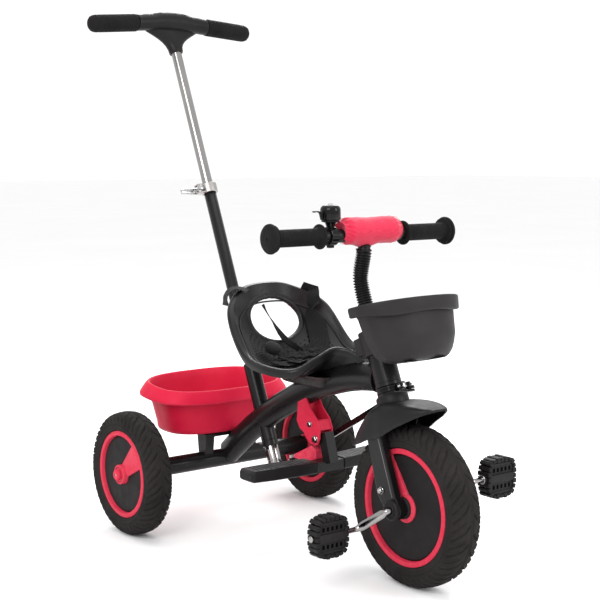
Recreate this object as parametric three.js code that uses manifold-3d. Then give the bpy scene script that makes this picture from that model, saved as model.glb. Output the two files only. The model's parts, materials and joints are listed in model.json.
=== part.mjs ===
// Children's tricycle with a parent push bar. Millimetres, +Z up, +X forward, +Y to the rider's left.
// The front wheel has direct pedals, the rear wheels run free on a straight axle beam, and the push
// bar steers the fork through a link rod that forms a parallelogram with it.
import * as THREE from 'three';
import { mergeVertices } from 'three/addons/utils/BufferGeometryUtils.js';
import Module from 'manifold-3d';

const wasm = await Module();
wasm.setup();

// ---- Driving dimensions ----------------------------------------------------------------------
const GAP = 0.3; // clearance between touching pieces
const TILT = THREE.MathUtils.degToRad(23); // lean of the steering axis and of the push bar
const FRONT_AXLE = new THREE.Vector3(287.3, 0, 125); // front wheel centre, 10 inch wheel
const REAR_AXLE = new THREE.Vector3(-219.75, 0, 107.7); // middle of the rear axle
const REAR_TRACK_HALF = 202.9; // rear wheel centre plane from the middle
const STEER_ORIGIN = new THREE.Vector3(224, 0, 308); // on the steering axis, below the head tube
const PUSH_ORIGIN = new THREE.Vector3(-105, 0, 200); // on the push bar axis, inside the main tube
const HANDLEBAR = new THREE.Vector3(160.7, 0, 533.6); // middle of the handlebar
const HANDLEBAR_R = 11;
const HEAD_TUBE_R = 21;
const HEAD_TUBE_BORE = 16;
const STEERER_R = 13.7;
const BEAM_R = 16;
const LINK_OFFSET = 40; // link rod pivots from the steering and push bar axes
const LINK_REAR_S = -83.1; // middle of the rod's rear eye along the push bar axis
const LINK_FRONT_S = -14.2; // middle of the rod's front eye along the steering axis
const CRANK_THROW = 56;
const CRANK_ANGLE = THREE.MathUtils.degToRad(217); // right crank, from +X towards +Z
const PEDAL_Y = 133; // pedal centre from the middle
const PUSH_LOWER_R = 11;
const PUSH_UPPER_R = 9.5;
const BASKET_TILT = THREE.MathUtils.degToRad(15);
const FOOTREST_PIVOT = new THREE.Vector3(60, 0, 190);
const ROUND = 14; // sides of a round piece
const WHEEL_SIDES = 32;

// ---- Materials -------------------------------------------------------------------------------
const COLOURS = {
  black_paint: [0x17181a, 0.3, 0.1],
  black_plastic: [0x2a2829, 0.6, 0],
  foam_tyre: [0x222021, 0.85, 0],
  rubber_foam: [0x191919, 0.9, 0],
  grey_plastic: [0x333034, 0.65, 0],
  red_plastic: [0xc8213f, 0.45, 0],
  red_fabric: [0xc62a44, 0.9, 0],
  webbing: [0x0d0d0e, 0.9, 0],
  chrome: [0xc9cbcd, 0.15, 1],
  zinc: [0xa9abad, 0.35, 1],
};

function material(slot) {
  const [color, roughness, metalness] = COLOURS[slot];
  return new THREE.MeshStandardMaterial({ color, roughness, metalness });
}

// ---- Geometry helpers ------------------------------------------------------------------------

/** The geometry with shared vertices, without collapsed triangles, and with its faces out. */
function weld(geometry) {
  const bare = new THREE.BufferGeometry();
  bare.setAttribute('position', geometry.getAttribute('position').clone());
  if (geometry.index) bare.setIndex(geometry.index.clone());
  const merged = mergeVertices(bare, 1e-4);
  const position = merged.getAttribute('position');
  const kept = [];
  let volume = 0;
  const a = new THREE.Vector3();
  const b = new THREE.Vector3();
  const c = new THREE.Vector3();
  for (let i = 0; i < merged.index.count; i += 3) {
    const [p, q, r] = [merged.index.getX(i), merged.index.getX(i + 1), merged.index.getX(i + 2)];
    if (p === q || q === r || r === p) continue;
    a.fromBufferAttribute(position, p);
    b.fromBufferAttribute(position, q);
    c.fromBufferAttribute(position, r);
    volume += a.dot(b.clone().cross(c));
    kept.push(p, q, r);
  }
  if (volume < 0) kept.reverse();
  merged.setIndex(kept);
  return merged;
}

function toSolid(geometry) {
  const welded = weld(geometry);
  return new wasm.Manifold(new wasm.Mesh({
    numProp: 3,
    vertProperties: new Float32Array(welded.getAttribute('position').array),
    triVerts: new Uint32Array(welded.index.array),
  }));
}

function toGeometry(solid) {
  const mesh = solid.getMesh();
  const geometry = new THREE.BufferGeometry();
  geometry.setAttribute('position', new THREE.BufferAttribute(new Float32Array(mesh.vertProperties), 3));
  geometry.setIndex(new THREE.BufferAttribute(new Uint32Array(mesh.triVerts), 1));
  return geometry;
}

function join(first, ...others) {
  return toGeometry(others.reduce((sum, other) => sum.add(toSolid(other)), toSolid(first)));
}

function cut(first, ...tools) {
  return toGeometry(tools.reduce((rest, tool) => rest.subtract(toSolid(tool)), toSolid(first)));
}

function box(x0, x1, y0, y1, z0, z1) {
  const geometry = new THREE.BoxGeometry(x1 - x0, y1 - y0, z1 - z0);
  return geometry.translate((x0 + x1) / 2, (y0 + y1) / 2, (z0 + z1) / 2);
}

/** A solid of revolution about Z from [radius, z] points. The profile closes on itself. */
function turned(profile, sides = ROUND) {
  const points = profile.map(([r, z]) => new THREE.Vector2(r, z));
  const onAxis = profile[0][0] === 0 && profile[profile.length - 1][0] === 0;
  if (!onAxis) points.push(points[0].clone());
  return new THREE.LatheGeometry(points, sides).rotateY(Math.PI / sides).rotateX(Math.PI / 2);
}

function disc(radius, z0, z1, sides = ROUND) {
  return turned([[0, z0], [radius, z0], [radius, z1], [0, z1]], sides);
}

function ring(outer, inner, z0, z1, sides = ROUND) {
  return turned([[inner, z0], [outer, z0], [outer, z1], [inner, z1]], sides);
}

/** Turns a piece made along Z so that it lies along +Y. */
function alongY(geometry) {
  return geometry.rotateX(-Math.PI / 2);
}

/** Turns a piece made along Z so that it lies along +X. */
function alongX(geometry) {
  return geometry.rotateY(Math.PI / 2);
}

function mirrored(geometry) {
  return weld(geometry.clone().scale(1, -1, 1));
}

function ellipse(a, b, count) {
  return Array.from({ length: count }, (_, i) => {
    const angle = (2 * Math.PI * (i + 0.5)) / count;
    return new THREE.Vector2(a * Math.cos(angle), b * Math.sin(angle));
  });
}

/** A section swept along a smooth curve in the middle plane. With a bore it is a tube. */
function swept(path, halfHeight, halfWidth, wall, sides, steps) {
  const shape = new THREE.Shape(ellipse(halfHeight, halfWidth, sides));
  if (wall > 0) shape.holes.push(new THREE.Path(ellipse(halfHeight - wall, halfWidth - wall, sides)));
  const curve = new THREE.CatmullRomCurve3(path.map(([x, z]) => new THREE.Vector3(x, 0, z)));
  return new THREE.ExtrudeGeometry(shape, { steps, extrudePath: curve, bevelEnabled: false });
}

/** An outline in the XZ plane given thickness from y0 to y1. */
function plateXZ(points, y0, y1) {
  const shape = new THREE.Shape(points.map(([x, z]) => new THREE.Vector2(x, z)));
  const geometry = new THREE.ExtrudeGeometry(shape, { depth: y1 - y0, bevelEnabled: false });
  return geometry.rotateX(Math.PI / 2).translate(0, y1, 0);
}

/** A closed body through rings of equal point count, with its first and last ring filled. */
function loft(rings) {
  const count = rings[0].length;
  const points = rings.flat();
  const indices = [];
  for (let k = 0; k + 1 < rings.length; k += 1) {
    for (let i = 0; i < count; i += 1) {
      const j = (i + 1) % count;
      const [a, b, c, d] = [k * count + i, k * count + j, (k + 1) * count + j, (k + 1) * count + i];
      indices.push(a, b, c, a, c, d);
    }
  }
  [0, rings.length - 1].forEach((k) => {
    const middle = new THREE.Vector3();
    rings[k].forEach((p) => middle.addScaledVector(p, 1 / count));
    points.push(middle);
    for (let i = 0; i < count; i += 1) {
      const j = (i + 1) % count;
      const pair = k === 0 ? [k * count + j, k * count + i] : [k * count + i, k * count + j];
      indices.push(...pair, points.length - 1);
    }
  });
  const geometry = new THREE.BufferGeometry();
  const flat = points.flatMap((p) => [p.x, p.y, p.z]);
  geometry.setAttribute('position', new THREE.Float32BufferAttribute(flat, 3));
  geometry.setIndex(indices);
  return geometry;
}

/** Ring at height z of an oval with squared corners: centre x, half sizes a (x) and b (y). */
function ovalRing(x, z, a, b, power, count, slope = 0) {
  return Array.from({ length: count }, (_, i) => {
    const angle = (2 * Math.PI * (i + 0.5)) / count;
    const [c, s] = [Math.cos(angle), Math.sin(angle)];
    const px = x + a * Math.sign(c) * Math.abs(c) ** power;
    const py = b * Math.sign(s) * Math.abs(s) ** power;
    return new THREE.Vector3(px, py, z + slope * (px - x));
  });
}

const trike = new THREE.Group();
const steering = new THREE.Group(); // z runs up the steering axis
steering.position.copy(STEER_ORIGIN);
steering.rotation.y = -TILT;
const pushing = new THREE.Group(); // z runs up the push bar axis
pushing.position.copy(PUSH_ORIGIN);
pushing.rotation.y = -TILT;
trike.add(steering, pushing);

function add(name, slot, geometry, parent = trike) {
  const mesh = new THREE.Mesh(weld(geometry), material(slot));
  mesh.name = name;
  parent.add(mesh);
}

/** A piece made about the steering or the push bar axis, moved into the tricycle's own frame. */
function placed(geometry, origin) {
  return geometry.rotateY(-TILT).translate(origin.x, origin.y, origin.z);
}

// ---- Frame -----------------------------------------------------------------------------------
const MAIN_PATH = [
  [-212, 119], [-170, 152], [-129, 182], [-60, 224], [36, 272], [100, 294], [155, 307], [216, 314],
];
const MAIN_HALF_HEIGHT = 23;
const MAIN_HALF_WIDTH = 18;
const MAIN_SIDES = 12;
const MAIN_STEPS = 11;

function mainTube() {
  const tube = swept(MAIN_PATH, MAIN_HALF_HEIGHT, MAIN_HALF_WIDTH, 2, MAIN_SIDES, MAIN_STEPS);
  return cut(
    tube,
    placed(disc(HEAD_TUBE_R + GAP, -60, 120), STEER_ORIGIN),
    placed(disc(14 + GAP, -80, 120), PUSH_ORIGIN),
    alongY(disc(BEAM_R + GAP, -60, 60)).translate(REAR_AXLE.x, 0, REAR_AXLE.z),
  );
}

function frame() {
  add('main_tube', 'black_paint', mainTube());
  add('head_tube', 'black_paint', ring(HEAD_TUBE_R, HEAD_TUBE_BORE, -8, 72), steering);
  const beam = alongY(ring(BEAM_R, 6, -172, 172)).translate(REAR_AXLE.x, 0, REAR_AXLE.z);
  add('rear_axle_beam', 'black_paint', beam);
  const rod = alongY(disc(5, -231, 231, 12)).translate(REAR_AXLE.x, 0, REAR_AXLE.z);
  add('rear_axle_rod', 'zinc', rod);
  add('push_bar_socket', 'black_paint', ring(14, PUSH_LOWER_R + GAP, -53, 98), pushing);
}

// ---- Wheels ----------------------------------------------------------------------------------

/** Half profile of a foam tyre: [radius, offset] from the bore over the tread and back. */
function tyreProfile(radius, bore, half) {
  const flat = half * 0.42;
  const shoulder = radius - half * 0.62;
  const side = [[bore, half - 3], [bore + 6, half], [shoulder, half]];
  for (let i = 1; i < 3; i += 1) {
    const angle = (i * Math.PI) / 6;
    side.push([
      shoulder + (radius - shoulder) * Math.sin(angle),
      flat + (half - flat) * Math.cos(angle),
    ]);
  }
  side.push([radius, flat]);
  return [...side, ...side.map(([r, y]) => [r, -y]).reverse()];
}

/** Red wheel core: rim ring, hub and one wide spoke on each face. */
function wheelCore(size) {
  const hub = ring(size.hubR, size.boreR, -size.hubHalf, size.hubHalf);
  const rim = ring(size.rimR, size.rimR - 9, -size.rimHalf, size.rimHalf, WHEEL_SIDES);
  const reach = size.rimR - 4;
  const spoke = (y0, y1) => plateXZ(
    [[0, -size.spokeRoot], [reach, -size.spokeTip], [reach, size.spokeTip], [0, size.spokeRoot]], y0, y1,
  ).rotateY(-size.spokeAngle);
  const faces = [-1, 1].map((side) => {
    const [low, high] = [size.discHalf + GAP, size.discHalf + 4];
    return side > 0 ? spoke(low, high) : spoke(-high, -low);
  });
  const bore = disc(size.boreR, -60, 60);
  return cut(join(alongY(hub), alongY(rim), ...faces), alongY(bore));
}

/** Dark infill between hub and rim: two plates joined by an outer band, open at the bore. */
function wheelDisc(size) {
  const inner = size.hubR + GAP;
  const outer = size.rimR - 9 - GAP;
  const half = size.discHalf;
  return alongY(turned([
    [inner, -half], [outer, -half], [outer, half], [inner, half],
    [inner, half - 3], [outer - 3, half - 3], [outer - 3, 3 - half], [inner, 3 - half],
  ], WHEEL_SIDES));
}

function wheel(prefix, centre, size) {
  const radius = size.radius / Math.cos(Math.PI / WHEEL_SIDES);
  const tyre = alongY(turned(tyreProfile(radius, size.rimR + GAP, size.half), WHEEL_SIDES));
  const put = (geometry) => geometry.translate(centre.x, centre.y, centre.z);
  add(`${prefix}_tyre`, 'foam_tyre', put(tyre));
  add(`${prefix}_wheel_core`, 'red_plastic', put(wheelCore(size)));
  add(`${prefix}_wheel_disc`, 'grey_plastic', put(wheelDisc(size)));
}

const FRONT_SIZE = {
  radius: 125, half: 26.5, rimR: 91.3, rimHalf: 24, discHalf: 19, hubR: 21, hubHalf: 27, boreR: 5.4,
  spokeRoot: 17, spokeTip: 9, spokeAngle: THREE.MathUtils.degToRad(118),
};
const REAR_SIZE = {
  radius: 107.7, half: 24, rimR: 76.1, rimHalf: 21.5, discHalf: 17, hubR: 17, hubHalf: 25.5, boreR: 5.4,
  spokeRoot: 13, spokeTip: 24, spokeAngle: THREE.MathUtils.degToRad(38),
};

function wheels() {
  wheel('front', FRONT_AXLE, FRONT_SIZE);
  [['rear_right', -1], ['rear_left', 1]].forEach(([name, side]) => {
    const centre = REAR_AXLE.clone().setY(side * REAR_TRACK_HALF);
    wheel(name, centre, REAR_SIZE);
    const cap = alongY(axleCap()).scale(1, side, 1);
    add(`${name}_axle_cap`, 'red_plastic', cap.translate(REAR_AXLE.x, 0, REAR_AXLE.z));
  });
}

/** Push-on cap over the end of the rear axle rod, made about +Z. */
function axleCap() {
  return turned([[5.3, 228.7], [10, 228.7], [10, 233], [8, 235], [0, 235], [0, 231.5], [5.3, 231.5]], 16);
}

// ---- Fork, mudguard and steerer --------------------------------------------------------------
const LEG_INNER = 31;
const LEG_OUTER = 45;

function forkLeg(side) {
  const end = Array.from({ length: 7 }, (_, i) => {
    const angle = THREE.MathUtils.degToRad(15 - 35 * i);
    return [FRONT_AXLE.x + 16 * Math.cos(angle), FRONT_AXLE.z + 16 * Math.sin(angle)];
  });
  const outline = [
    [226, 250], [252, 250], [257, 232.5], [291, 145], ...end.slice(0, 5), [251, 141], [225, 226],
  ];
  const leg = plateXZ(outline, LEG_INNER, LEG_OUTER);
  const shoulder = plateXZ([[226, 240], [254, 240], [258, 262], [232, 262]], LEG_INNER, 36);
  const channel = plateXZ([[236, 222], [249, 226], [276, 150], [262, 146]], LEG_OUTER - 3, LEG_OUTER + 1);
  const both = cut(join(leg, shoulder), channel);
  return side > 0 ? both : mirrored(both);
}

function fork() {
  const crown = placed(box(-18, 18, -36, 36, -56, -46), STEER_ORIGIN);
  const bore = placed(disc(STEERER_R + GAP, -80, -30), STEER_ORIGIN);
  const axle = alongY(disc(5.4, -60, 60)).translate(FRONT_AXLE.x, 0, FRONT_AXLE.z);
  const cover = cut(loft(archRings(-6, 8, 0)), loft(archRings(3.4, 12, 6)));
  const whole = join(crown, forkLeg(1), forkLeg(-1));
  add('front_fork', 'black_paint', cut(whole, bore, axle, cover));
  add('steerer_tube', 'zinc', ring(STEERER_R, 11, -56, 84), steering);
}

// Stations of the mudguard along X: half width, top and lower edge.
const GUARD_STATIONS = [
  [178, 33, 212, 203], [195, 40, 236, 209], [212, 46, 256, 215], [228, 49.5, 272, 222],
  [245, 49.5, 281, 228], [262, 49.5, 284, 234], [285, 45, 286, 249], [310, 37, 286, 263],
  [330, 26, 284, 274], [341, 14, 282, 279],
];

function archRings(inset, drop, reach) {
  const steps = 10;
  return GUARD_STATIONS.map(([x, half, top, low], k) => {
    const shift = k === 0 ? inset : reach * (k / (GUARD_STATIONS.length - 1)) ** 4;
    const [w, t, b] = [half - inset, top - inset, low - drop];
    return Array.from({ length: steps + 1 }, (_, i) => {
      const angle = (Math.PI * i) / steps;
      const y = w * Math.sign(Math.cos(angle)) * Math.abs(Math.cos(angle)) ** 0.35;
      return new THREE.Vector3(x + shift, y, b + (t - b) * Math.sin(angle) ** 0.6);
    });
  });
}

function mudguard() {
  const outer = loft(archRings(0, 0, 0));
  const inner = loft(archRings(3, 8, 6));
  const neck = placed(disc(26, -43, -21.5), STEER_ORIGIN);
  const bore = placed(disc(STEERER_R + GAP, -90, 0), STEER_ORIGIN);
  const shell = cut(outer, inner);
  add('front_mudguard', 'black_plastic', cut(join(shell, neck), bore));
}

function steeringHardware() {
  add('lock_collar', 'black_paint', ring(21.5, STEERER_R + GAP, -17.4, -8.4), steering);
  const stud = alongX(disc(2.6, 21.9, 33, 12));
  const wings = join(box(30, 35, -9, 9, -3, 3), box(33, 42, -9, -5, -4, 4), box(33, 42, 5, 9, -4, 4));
  add('lock_screw', 'zinc', join(stud, wings).translate(0, 0, -13), steering);
  const tip = new THREE.Vector3(0, LINK_OFFSET, 0);
  const arm = join(
    ring(21.5, STEERER_R + GAP, -21.2, -17.7),
    cut(box(-8, 8, 15, LINK_OFFSET, -21.2, -17.7), disc(STEERER_R + GAP, -30, 0)),
    disc(8, -21.2, -17.7).translate(tip.x, tip.y, 0),
    disc(3, -17.8, -9, 12).translate(tip.x, tip.y, 0),
    disc(5.6, -10.5, -7, 6).translate(tip.x, tip.y, 0),
  );
  add('steering_arm', 'black_paint', arm, steering);
  [['right', -1], ['left', 1]].forEach(([name, side]) => {
    const cap = turned([
      [5.4, 46.3], [16, 46.3], [16, 48.5], [13, 51], [5.4, 51],
    ], 16);
    const put = alongY(cap).scale(1, side, 1).translate(FRONT_AXLE.x, 0, FRONT_AXLE.z);
    add(`hub_cap_${name}`, 'black_plastic', put);
  });
}

// ---- Cranks and pedals -----------------------------------------------------------------------
const ARM_INNER = 57; // crank arm leaves the axle
const ARM_OUTER = 76; // crank arm meets the pedal spindle

function pedalCentre(side) {
  const angle = CRANK_ANGLE + (side > 0 ? Math.PI : 0);
  return new THREE.Vector3(
    FRONT_AXLE.x + CRANK_THROW * Math.cos(angle),
    side * PEDAL_Y,
    FRONT_AXLE.z + CRANK_THROW * Math.sin(angle),
  );
}

function crankSide(side) {
  const splay = ARM_OUTER - ARM_INNER;
  const arm = box(0, Math.hypot(CRANK_THROW, splay), -7, 7, -3, 3);
  arm.rotateY(-Math.atan2(splay, CRANK_THROW)).translate(0, 0, ARM_INNER);
  const root = disc(7.5, ARM_INNER - 3.6, ARM_INNER + 4, 12);
  const eye = disc(7.5, ARM_OUTER - 4, ARM_OUTER + 4, 12).translate(CRANK_THROW, 0, 0);
  const spindle = disc(4, ARM_OUTER, PEDAL_Y + 33, 10).translate(CRANK_THROW, 0, 0);
  const end = disc(6.5, PEDAL_Y + 32.5, PEDAL_Y + 35, 10).translate(CRANK_THROW, 0, 0);
  const whole = alongY(join(arm, root, eye, spindle, end));
  const angle = CRANK_ANGLE + (side > 0 ? Math.PI : 0);
  return (side > 0 ? whole : mirrored(whole)).rotateY(-angle);
}

function pedal() {
  const count = 24;
  const outline = Array.from({ length: count }, (_, i) => {
    const angle = (2 * Math.PI * (i + 0.5)) / count;
    const [c, s] = [Math.cos(angle), Math.sin(angle)];
    const tread = i % 3 === 0 ? -2.2 : 0;
    return new THREE.Vector2(
      (32 + tread) * Math.sign(c) * Math.abs(c) ** 0.55, (33 + tread) * Math.sign(s) * Math.abs(s) ** 0.55,
    );
  });
  const block = new THREE.ExtrudeGeometry(new THREE.Shape(outline), {
    depth: 19, bevelEnabled: true, bevelSize: 3, bevelThickness: 3, bevelSegments: 1, bevelOffset: -3,
  });
  block.translate(0, 0, -9.5).rotateX(Math.PI / 2).rotateZ(Math.PI / 2);
  return cut(block, alongY(disc(4.4, -40, 40, 12)));
}

function cranks() {
  const axle = alongY(disc(5, -ARM_INNER, ARM_INNER, 16));
  const whole = join(axle, crankSide(1), crankSide(-1));
  add('crank_axle', 'chrome', whole.translate(FRONT_AXLE.x, 0, FRONT_AXLE.z));
  [['pedal_right', -1], ['pedal_left', 1]].forEach(([name, side]) => {
    const centre = pedalCentre(side);
    add(name, 'black_plastic', pedal().translate(centre.x, centre.y, centre.z));
  });
}

// ---- Handlebar -------------------------------------------------------------------------------
const STEM_PATH = [[191.5, 384.5], [185, 400], [170.3, 423.3], [157.5, 464.6], [165, 506], [162, 524]];
const SLEEVE_PATH = [[179.5, 407.5], [170.3, 423.3], [157.5, 464.6], [165, 506], [164.2, 513]];
const PAD_ENDS = [-45, 73];

function grip(side) {
  const profile = [
    [HANDLEBAR_R + GAP, 84], [19.5, 84], [19.5, 88], [13.8, 90], [13.4, 171], [23, 174], [23, 182],
    [18, 186], [0, 186], [0, 178.6], [HANDLEBAR_R + GAP, 178.6],
  ];
  return alongY(turned(profile, 16)).scale(1, side, 1).translate(HANDLEBAR.x, 0, HANDLEBAR.z);
}

function bell() {
  const [x, z] = [HANDLEBAR.x, HANDLEBAR.z];
  const clamp = alongY(ring(15, HANDLEBAR_R + GAP, -71, -57)).translate(x, 0, z);
  const post = box(x - 5, x + 5, -70, -58, z + 13, z + 24);
  const plate = disc(13.8, z + 22, z + 27).translate(x, -64, 0);
  const lug = box(x - 4, x + 4, -84, -76, z + 22, z + 25);
  add('bell_base', 'black_plastic', join(clamp, post, plate, lug));
  const dome = turned([
    [14.6, 25.6], [16, 25.6], [16, 43], [13, 48], [7, 49.6], [0, 50], [0, 48], [13, 46], [14.6, 43],
  ]);
  add('bell_dome', 'black_paint', dome.translate(x, -64, z));
  const lever = join(
    box(x - 3.5, x + 3.5, -84, -81, z + 25.4, z + 40), box(x - 5, x + 5, -97, -82.5, z + 37, z + 40),
  );
  add('bell_lever', 'black_plastic', lever);
}

function handlebar() {
  const bar = alongY(ring(HANDLEBAR_R, 9, -178, 178)).translate(HANDLEBAR.x, 0, HANDLEBAR.z);
  const bore = alongY(disc(9, -100, 100)).translate(HANDLEBAR.x, 0, HANDLEBAR.z);
  add('handlebar', 'black_paint', join(bar, cut(swept(STEM_PATH, 9.2, 9.2, 0, 12, 8), bore)));
  const around = alongY(disc(HANDLEBAR_R + GAP, -80, 80)).translate(HANDLEBAR.x, 0, HANDLEBAR.z);
  add('stem_sleeve', 'black_plastic', swept(SLEEVE_PATH, 12.5, 12.5, 1.9, 12, 7));
  add('handlebar_grip_right', 'rubber_foam', grip(-1));
  add('handlebar_grip_left', 'rubber_foam', grip(1));
  const [start, end] = PAD_ENDS;
  const middle = new THREE.Vector2(HANDLEBAR.x, HANDLEBAR.z + 7);
  const rings = [
    [start, 16], [start + 3, 19], [start + 12, 21.5], [end - 12, 21.5], [end - 3, 19], [end, 16],
  ];
  const pad = loft(rings.map(([y, r]) => ellipse(r, r, 20).map(
    (p) => new THREE.Vector3(middle.x + p.x, y, middle.y + p.y),
  )));
  const stem = swept(STEM_PATH, 13.2, 13.2, 0, 12, 8);
  add('bar_pad', 'red_fabric', cut(pad, around, stem));
  bell();
}

// ---- Front basket ----------------------------------------------------------------------------
const BASKET_BACK = 38; // inner corner of the rim, from the steering axis

/** D-shaped outline about X: straight back with round corners and a bowed front. */
function basketRing(back, front, half, s, count = 32) {
  const middle = back + 26;
  return Array.from({ length: count }, (_, i) => {
    const angle = (2 * Math.PI * (i + 0.5)) / count;
    const [c, sn] = [Math.cos(angle), Math.sin(angle)];
    const reach = c > 0 ? front - middle : middle - back;
    const x = middle + reach * Math.sign(c) * Math.abs(c) ** (c > 0 ? 1 : 0.3);
    const y = half * Math.sign(sn) * Math.abs(sn) ** (c > 0 ? 0.92 : 0.62);
    return new THREE.Vector3(x, y, s);
  });
}

function basket() {
  const carrier = new THREE.Group();
  carrier.position.copy(STEER_ORIGIN);
  carrier.rotation.y = -BASKET_TILT;
  trike.add(carrier);
  const b = BASKET_BACK;
  const outer = [
    [b + 29, b + 48, 40, 22], [b + 19, b + 59, 58, 26], [b + 14, b + 67, 70, 36], [b + 10, b + 76, 80, 58],
    [b + 6, b + 80, 85, 96],
  ];
  const rim = [[b, b + 90, 96, 96], [b, b + 93, 97, 114], [b + 2.5, b + 90, 94.5, 114.5]];
  const inner = [
    [b + 8.5, b + 78, 82.5, 96], [b + 12.5, b + 73.5, 77.5, 58.5], [b + 16.5, b + 64.5, 67.5, 37.5],
    [b + 21.5, b + 56.5, 55.5, 28.6], [b + 30, b + 46, 38, 24.8],
  ];
  const rings = [...outer, ...rim, ...inner].map((size) => basketRing(...size));
  add('front_basket', 'black_plastic', loft(rings), carrier);
  const loose = HEAD_TUBE_R + 0.6;
  const tight = STEERER_R + GAP;
  const sleeve = turned([[loose, 44], [27, 44], [27, 84], [tight, 84], [tight, 74], [loose, 74]]);
  const plate = cut(box(12, 44, -24, 24, 50, 84), disc(24, 40, 90));
  const hook = cut(box(-38, -20, -16, 16, 52, 80), disc(24, 40, 90));
  add('basket_bracket', 'black_plastic', join(sleeve, plate, hook), steering);
}

// ---- Seat ------------------------------------------------------------------------------------
const PAN = new THREE.Vector3(15, 0, 305); // lowest point of the sitting surface
const SEAT_BEND = THREE.MathUtils.degToRad(64); // how far the side wall turns up from the pan
// Rim from the top of the backrest over the right side to the nose.
const RIM_RIGHT = [
  [-95, 0, 437], [-91, -49, 430], [-56, -97, 399], [0, -107, 336], [58, -110, 322], [104, -91, 321],
  [115, -55, 339], [119, -26, 351], [139, -9.5, 347],
];
const NOSE = [158, 0, 332];
const RIM_WIDTH = 11;
const RIM_STEPS = 40;

function rimCurve() {
  const left = RIM_RIGHT.slice(1).reverse().map(([x, y, z]) => [x, -y, z]);
  const points = [...RIM_RIGHT, NOSE, ...left].map((p) => new THREE.Vector3(...p));
  return new THREE.CatmullRomCurve3(points, true, 'catmullrom', 0.5);
}

/** Ring of the bowl at height fraction t between the pan and the rim, moved out and down. */
function bowlRing(rim, t, out, down) {
  const across = Math.sin(t * SEAT_BEND) / Math.sin(SEAT_BEND);
  const up = (1 - Math.cos(t * SEAT_BEND)) / (1 - Math.cos(SEAT_BEND));
  return rim.map((p) => {
    const away = new THREE.Vector3(p.x - PAN.x, p.y, 0).normalize();
    const [dx, dz] = [p.x - PAN.x, p.z - PAN.z];
    const point = new THREE.Vector3(PAN.x + dx * across, p.y * across, PAN.z + dz * up);
    return point.addScaledVector(away, out).add(new THREE.Vector3(0, 0, -down));
  });
}

function seat() {
  const rim = rimCurve().getSpacedPoints(RIM_STEPS).slice(0, RIM_STEPS);
  const inner = [0.2, 0.4, 0.6, 0.8, 1].map((t) => bowlRing(rim, t, 0, 0));
  const edge = [[RIM_WIDTH - 2, 0], [RIM_WIDTH, 3], [RIM_WIDTH - 1, 12]];
  const lip = edge.map(([out, down]) => bowlRing(rim, 1, out, down));
  const outer = [0.97, 0.8, 0.6, 0.4, 0.2].map((t) => bowlRing(rim, t, 4.5 * t, 4 + 12 * (1 - t)));
  const shell = loft([...inner, ...lip, ...outer]);
  const foot = box(-44, 96, -26, 26, 276, 300);
  const hole = plateYZ(ellipse(54, 36, 28), -150, -12).translate(0, 0, 377);
  const tube = swept(MAIN_PATH, MAIN_HALF_HEIGHT + 0.4, MAIN_HALF_WIDTH + 0.4, 0, MAIN_SIDES, MAIN_STEPS);
  add('seat_shell', 'black_plastic', cut(join(shell, foot), hole, tube));
}

/** An outline in the YZ plane given thickness from x0 to x1. */
function plateYZ(points, x0, x1) {
  const shape = new THREE.Shape(points);
  const geometry = new THREE.ExtrudeGeometry(shape, { depth: x1 - x0, bevelEnabled: false });
  return geometry.rotateY(Math.PI / 2).rotateX(Math.PI / 2).translate(x0, 0, 0);
}

/** A flat strap of rectangular section along a path; width lies along the given direction. */
function strap(path, width, thickness, across) {
  const curve = new THREE.CatmullRomCurve3(path.map((p) => new THREE.Vector3(...p)));
  const side = new THREE.Vector3(...across).normalize();
  const count = path.length * 2;
  const rings = Array.from({ length: count + 1 }, (_, i) => {
    const at = curve.getPoint(i / count);
    const normal = curve.getTangent(i / count).cross(side).normalize();
    return [[-1, -1], [1, -1], [1, 1], [-1, 1]].map(([u, v]) => at.clone()
      .addScaledVector(side, (u * width) / 2).addScaledVector(normal, (v * thickness) / 2));
  });
  return loft(rings);
}

/** Point on the sitting surface: share of the way round the rim, height fraction and lift off it. */
function onBowl(curve, [round, t, lift]) {
  const at = (f, h) => bowlRing([curve.getPointAt((f + 1) % 1)], h, 0, 0)[0];
  const point = at(round, t);
  const normal = at(round, t + 0.02).sub(point).cross(at(round + 0.01, t).sub(point)).normalize();
  const inward = normal.z + (PAN.x - point.x) * normal.x * 0.01 < 0 ? -1 : 1;
  return point.addScaledVector(normal, inward * lift);
}

function harness() {
  const curve = rimCurve();
  const run = (points) => points.map((p) => onBowl(curve, p).toArray());
  add('harness_strap_left', 'webbing', strap(run([
    [0.87, 0.93, 5], [0.87, 0.8, 5.5], [0.865, 0.65, 5.5], [0.85, 0.5, 6], [0.83, 0.36, 6.5],
  ]), 26, 2.5, [0.6, 0.8, 0]));
  add('harness_strap_right', 'webbing', strap([
    [-72, -26, 404], [-66, -22, 390], [-58, -14, 372], [-48, -4, 352], [-40, 2, 344],
  ], 8, 2.5, [0, 1, 0.4]));
  add('harness_belt', 'webbing', strap(run([
    [0.75, 0.3, 7], [0.75, 0.15, 8], [0.25, 0.02, 9], [0.25, 0.17, 8], [0.25, 0.3, 7],
  ]), 22, 3, [1, 0, 0]));
  const buckle = turned([[0, 0], [12, 0], [15, 4], [14, 9], [10, 12], [0, 13]], 14);
  const rest = onBowl(curve, [0.12, 0.42, 6]);
  add('harness_buckle', 'black_plastic', buckle.rotateY(0.35).translate(rest.x, rest.y, rest.z + 6));
}

// ---- Rear bucket -----------------------------------------------------------------------------
const BUCKET_X = -262;
const BUCKET_SLOPE = -0.1; // the rim rises towards the back, and the floor is level

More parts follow.
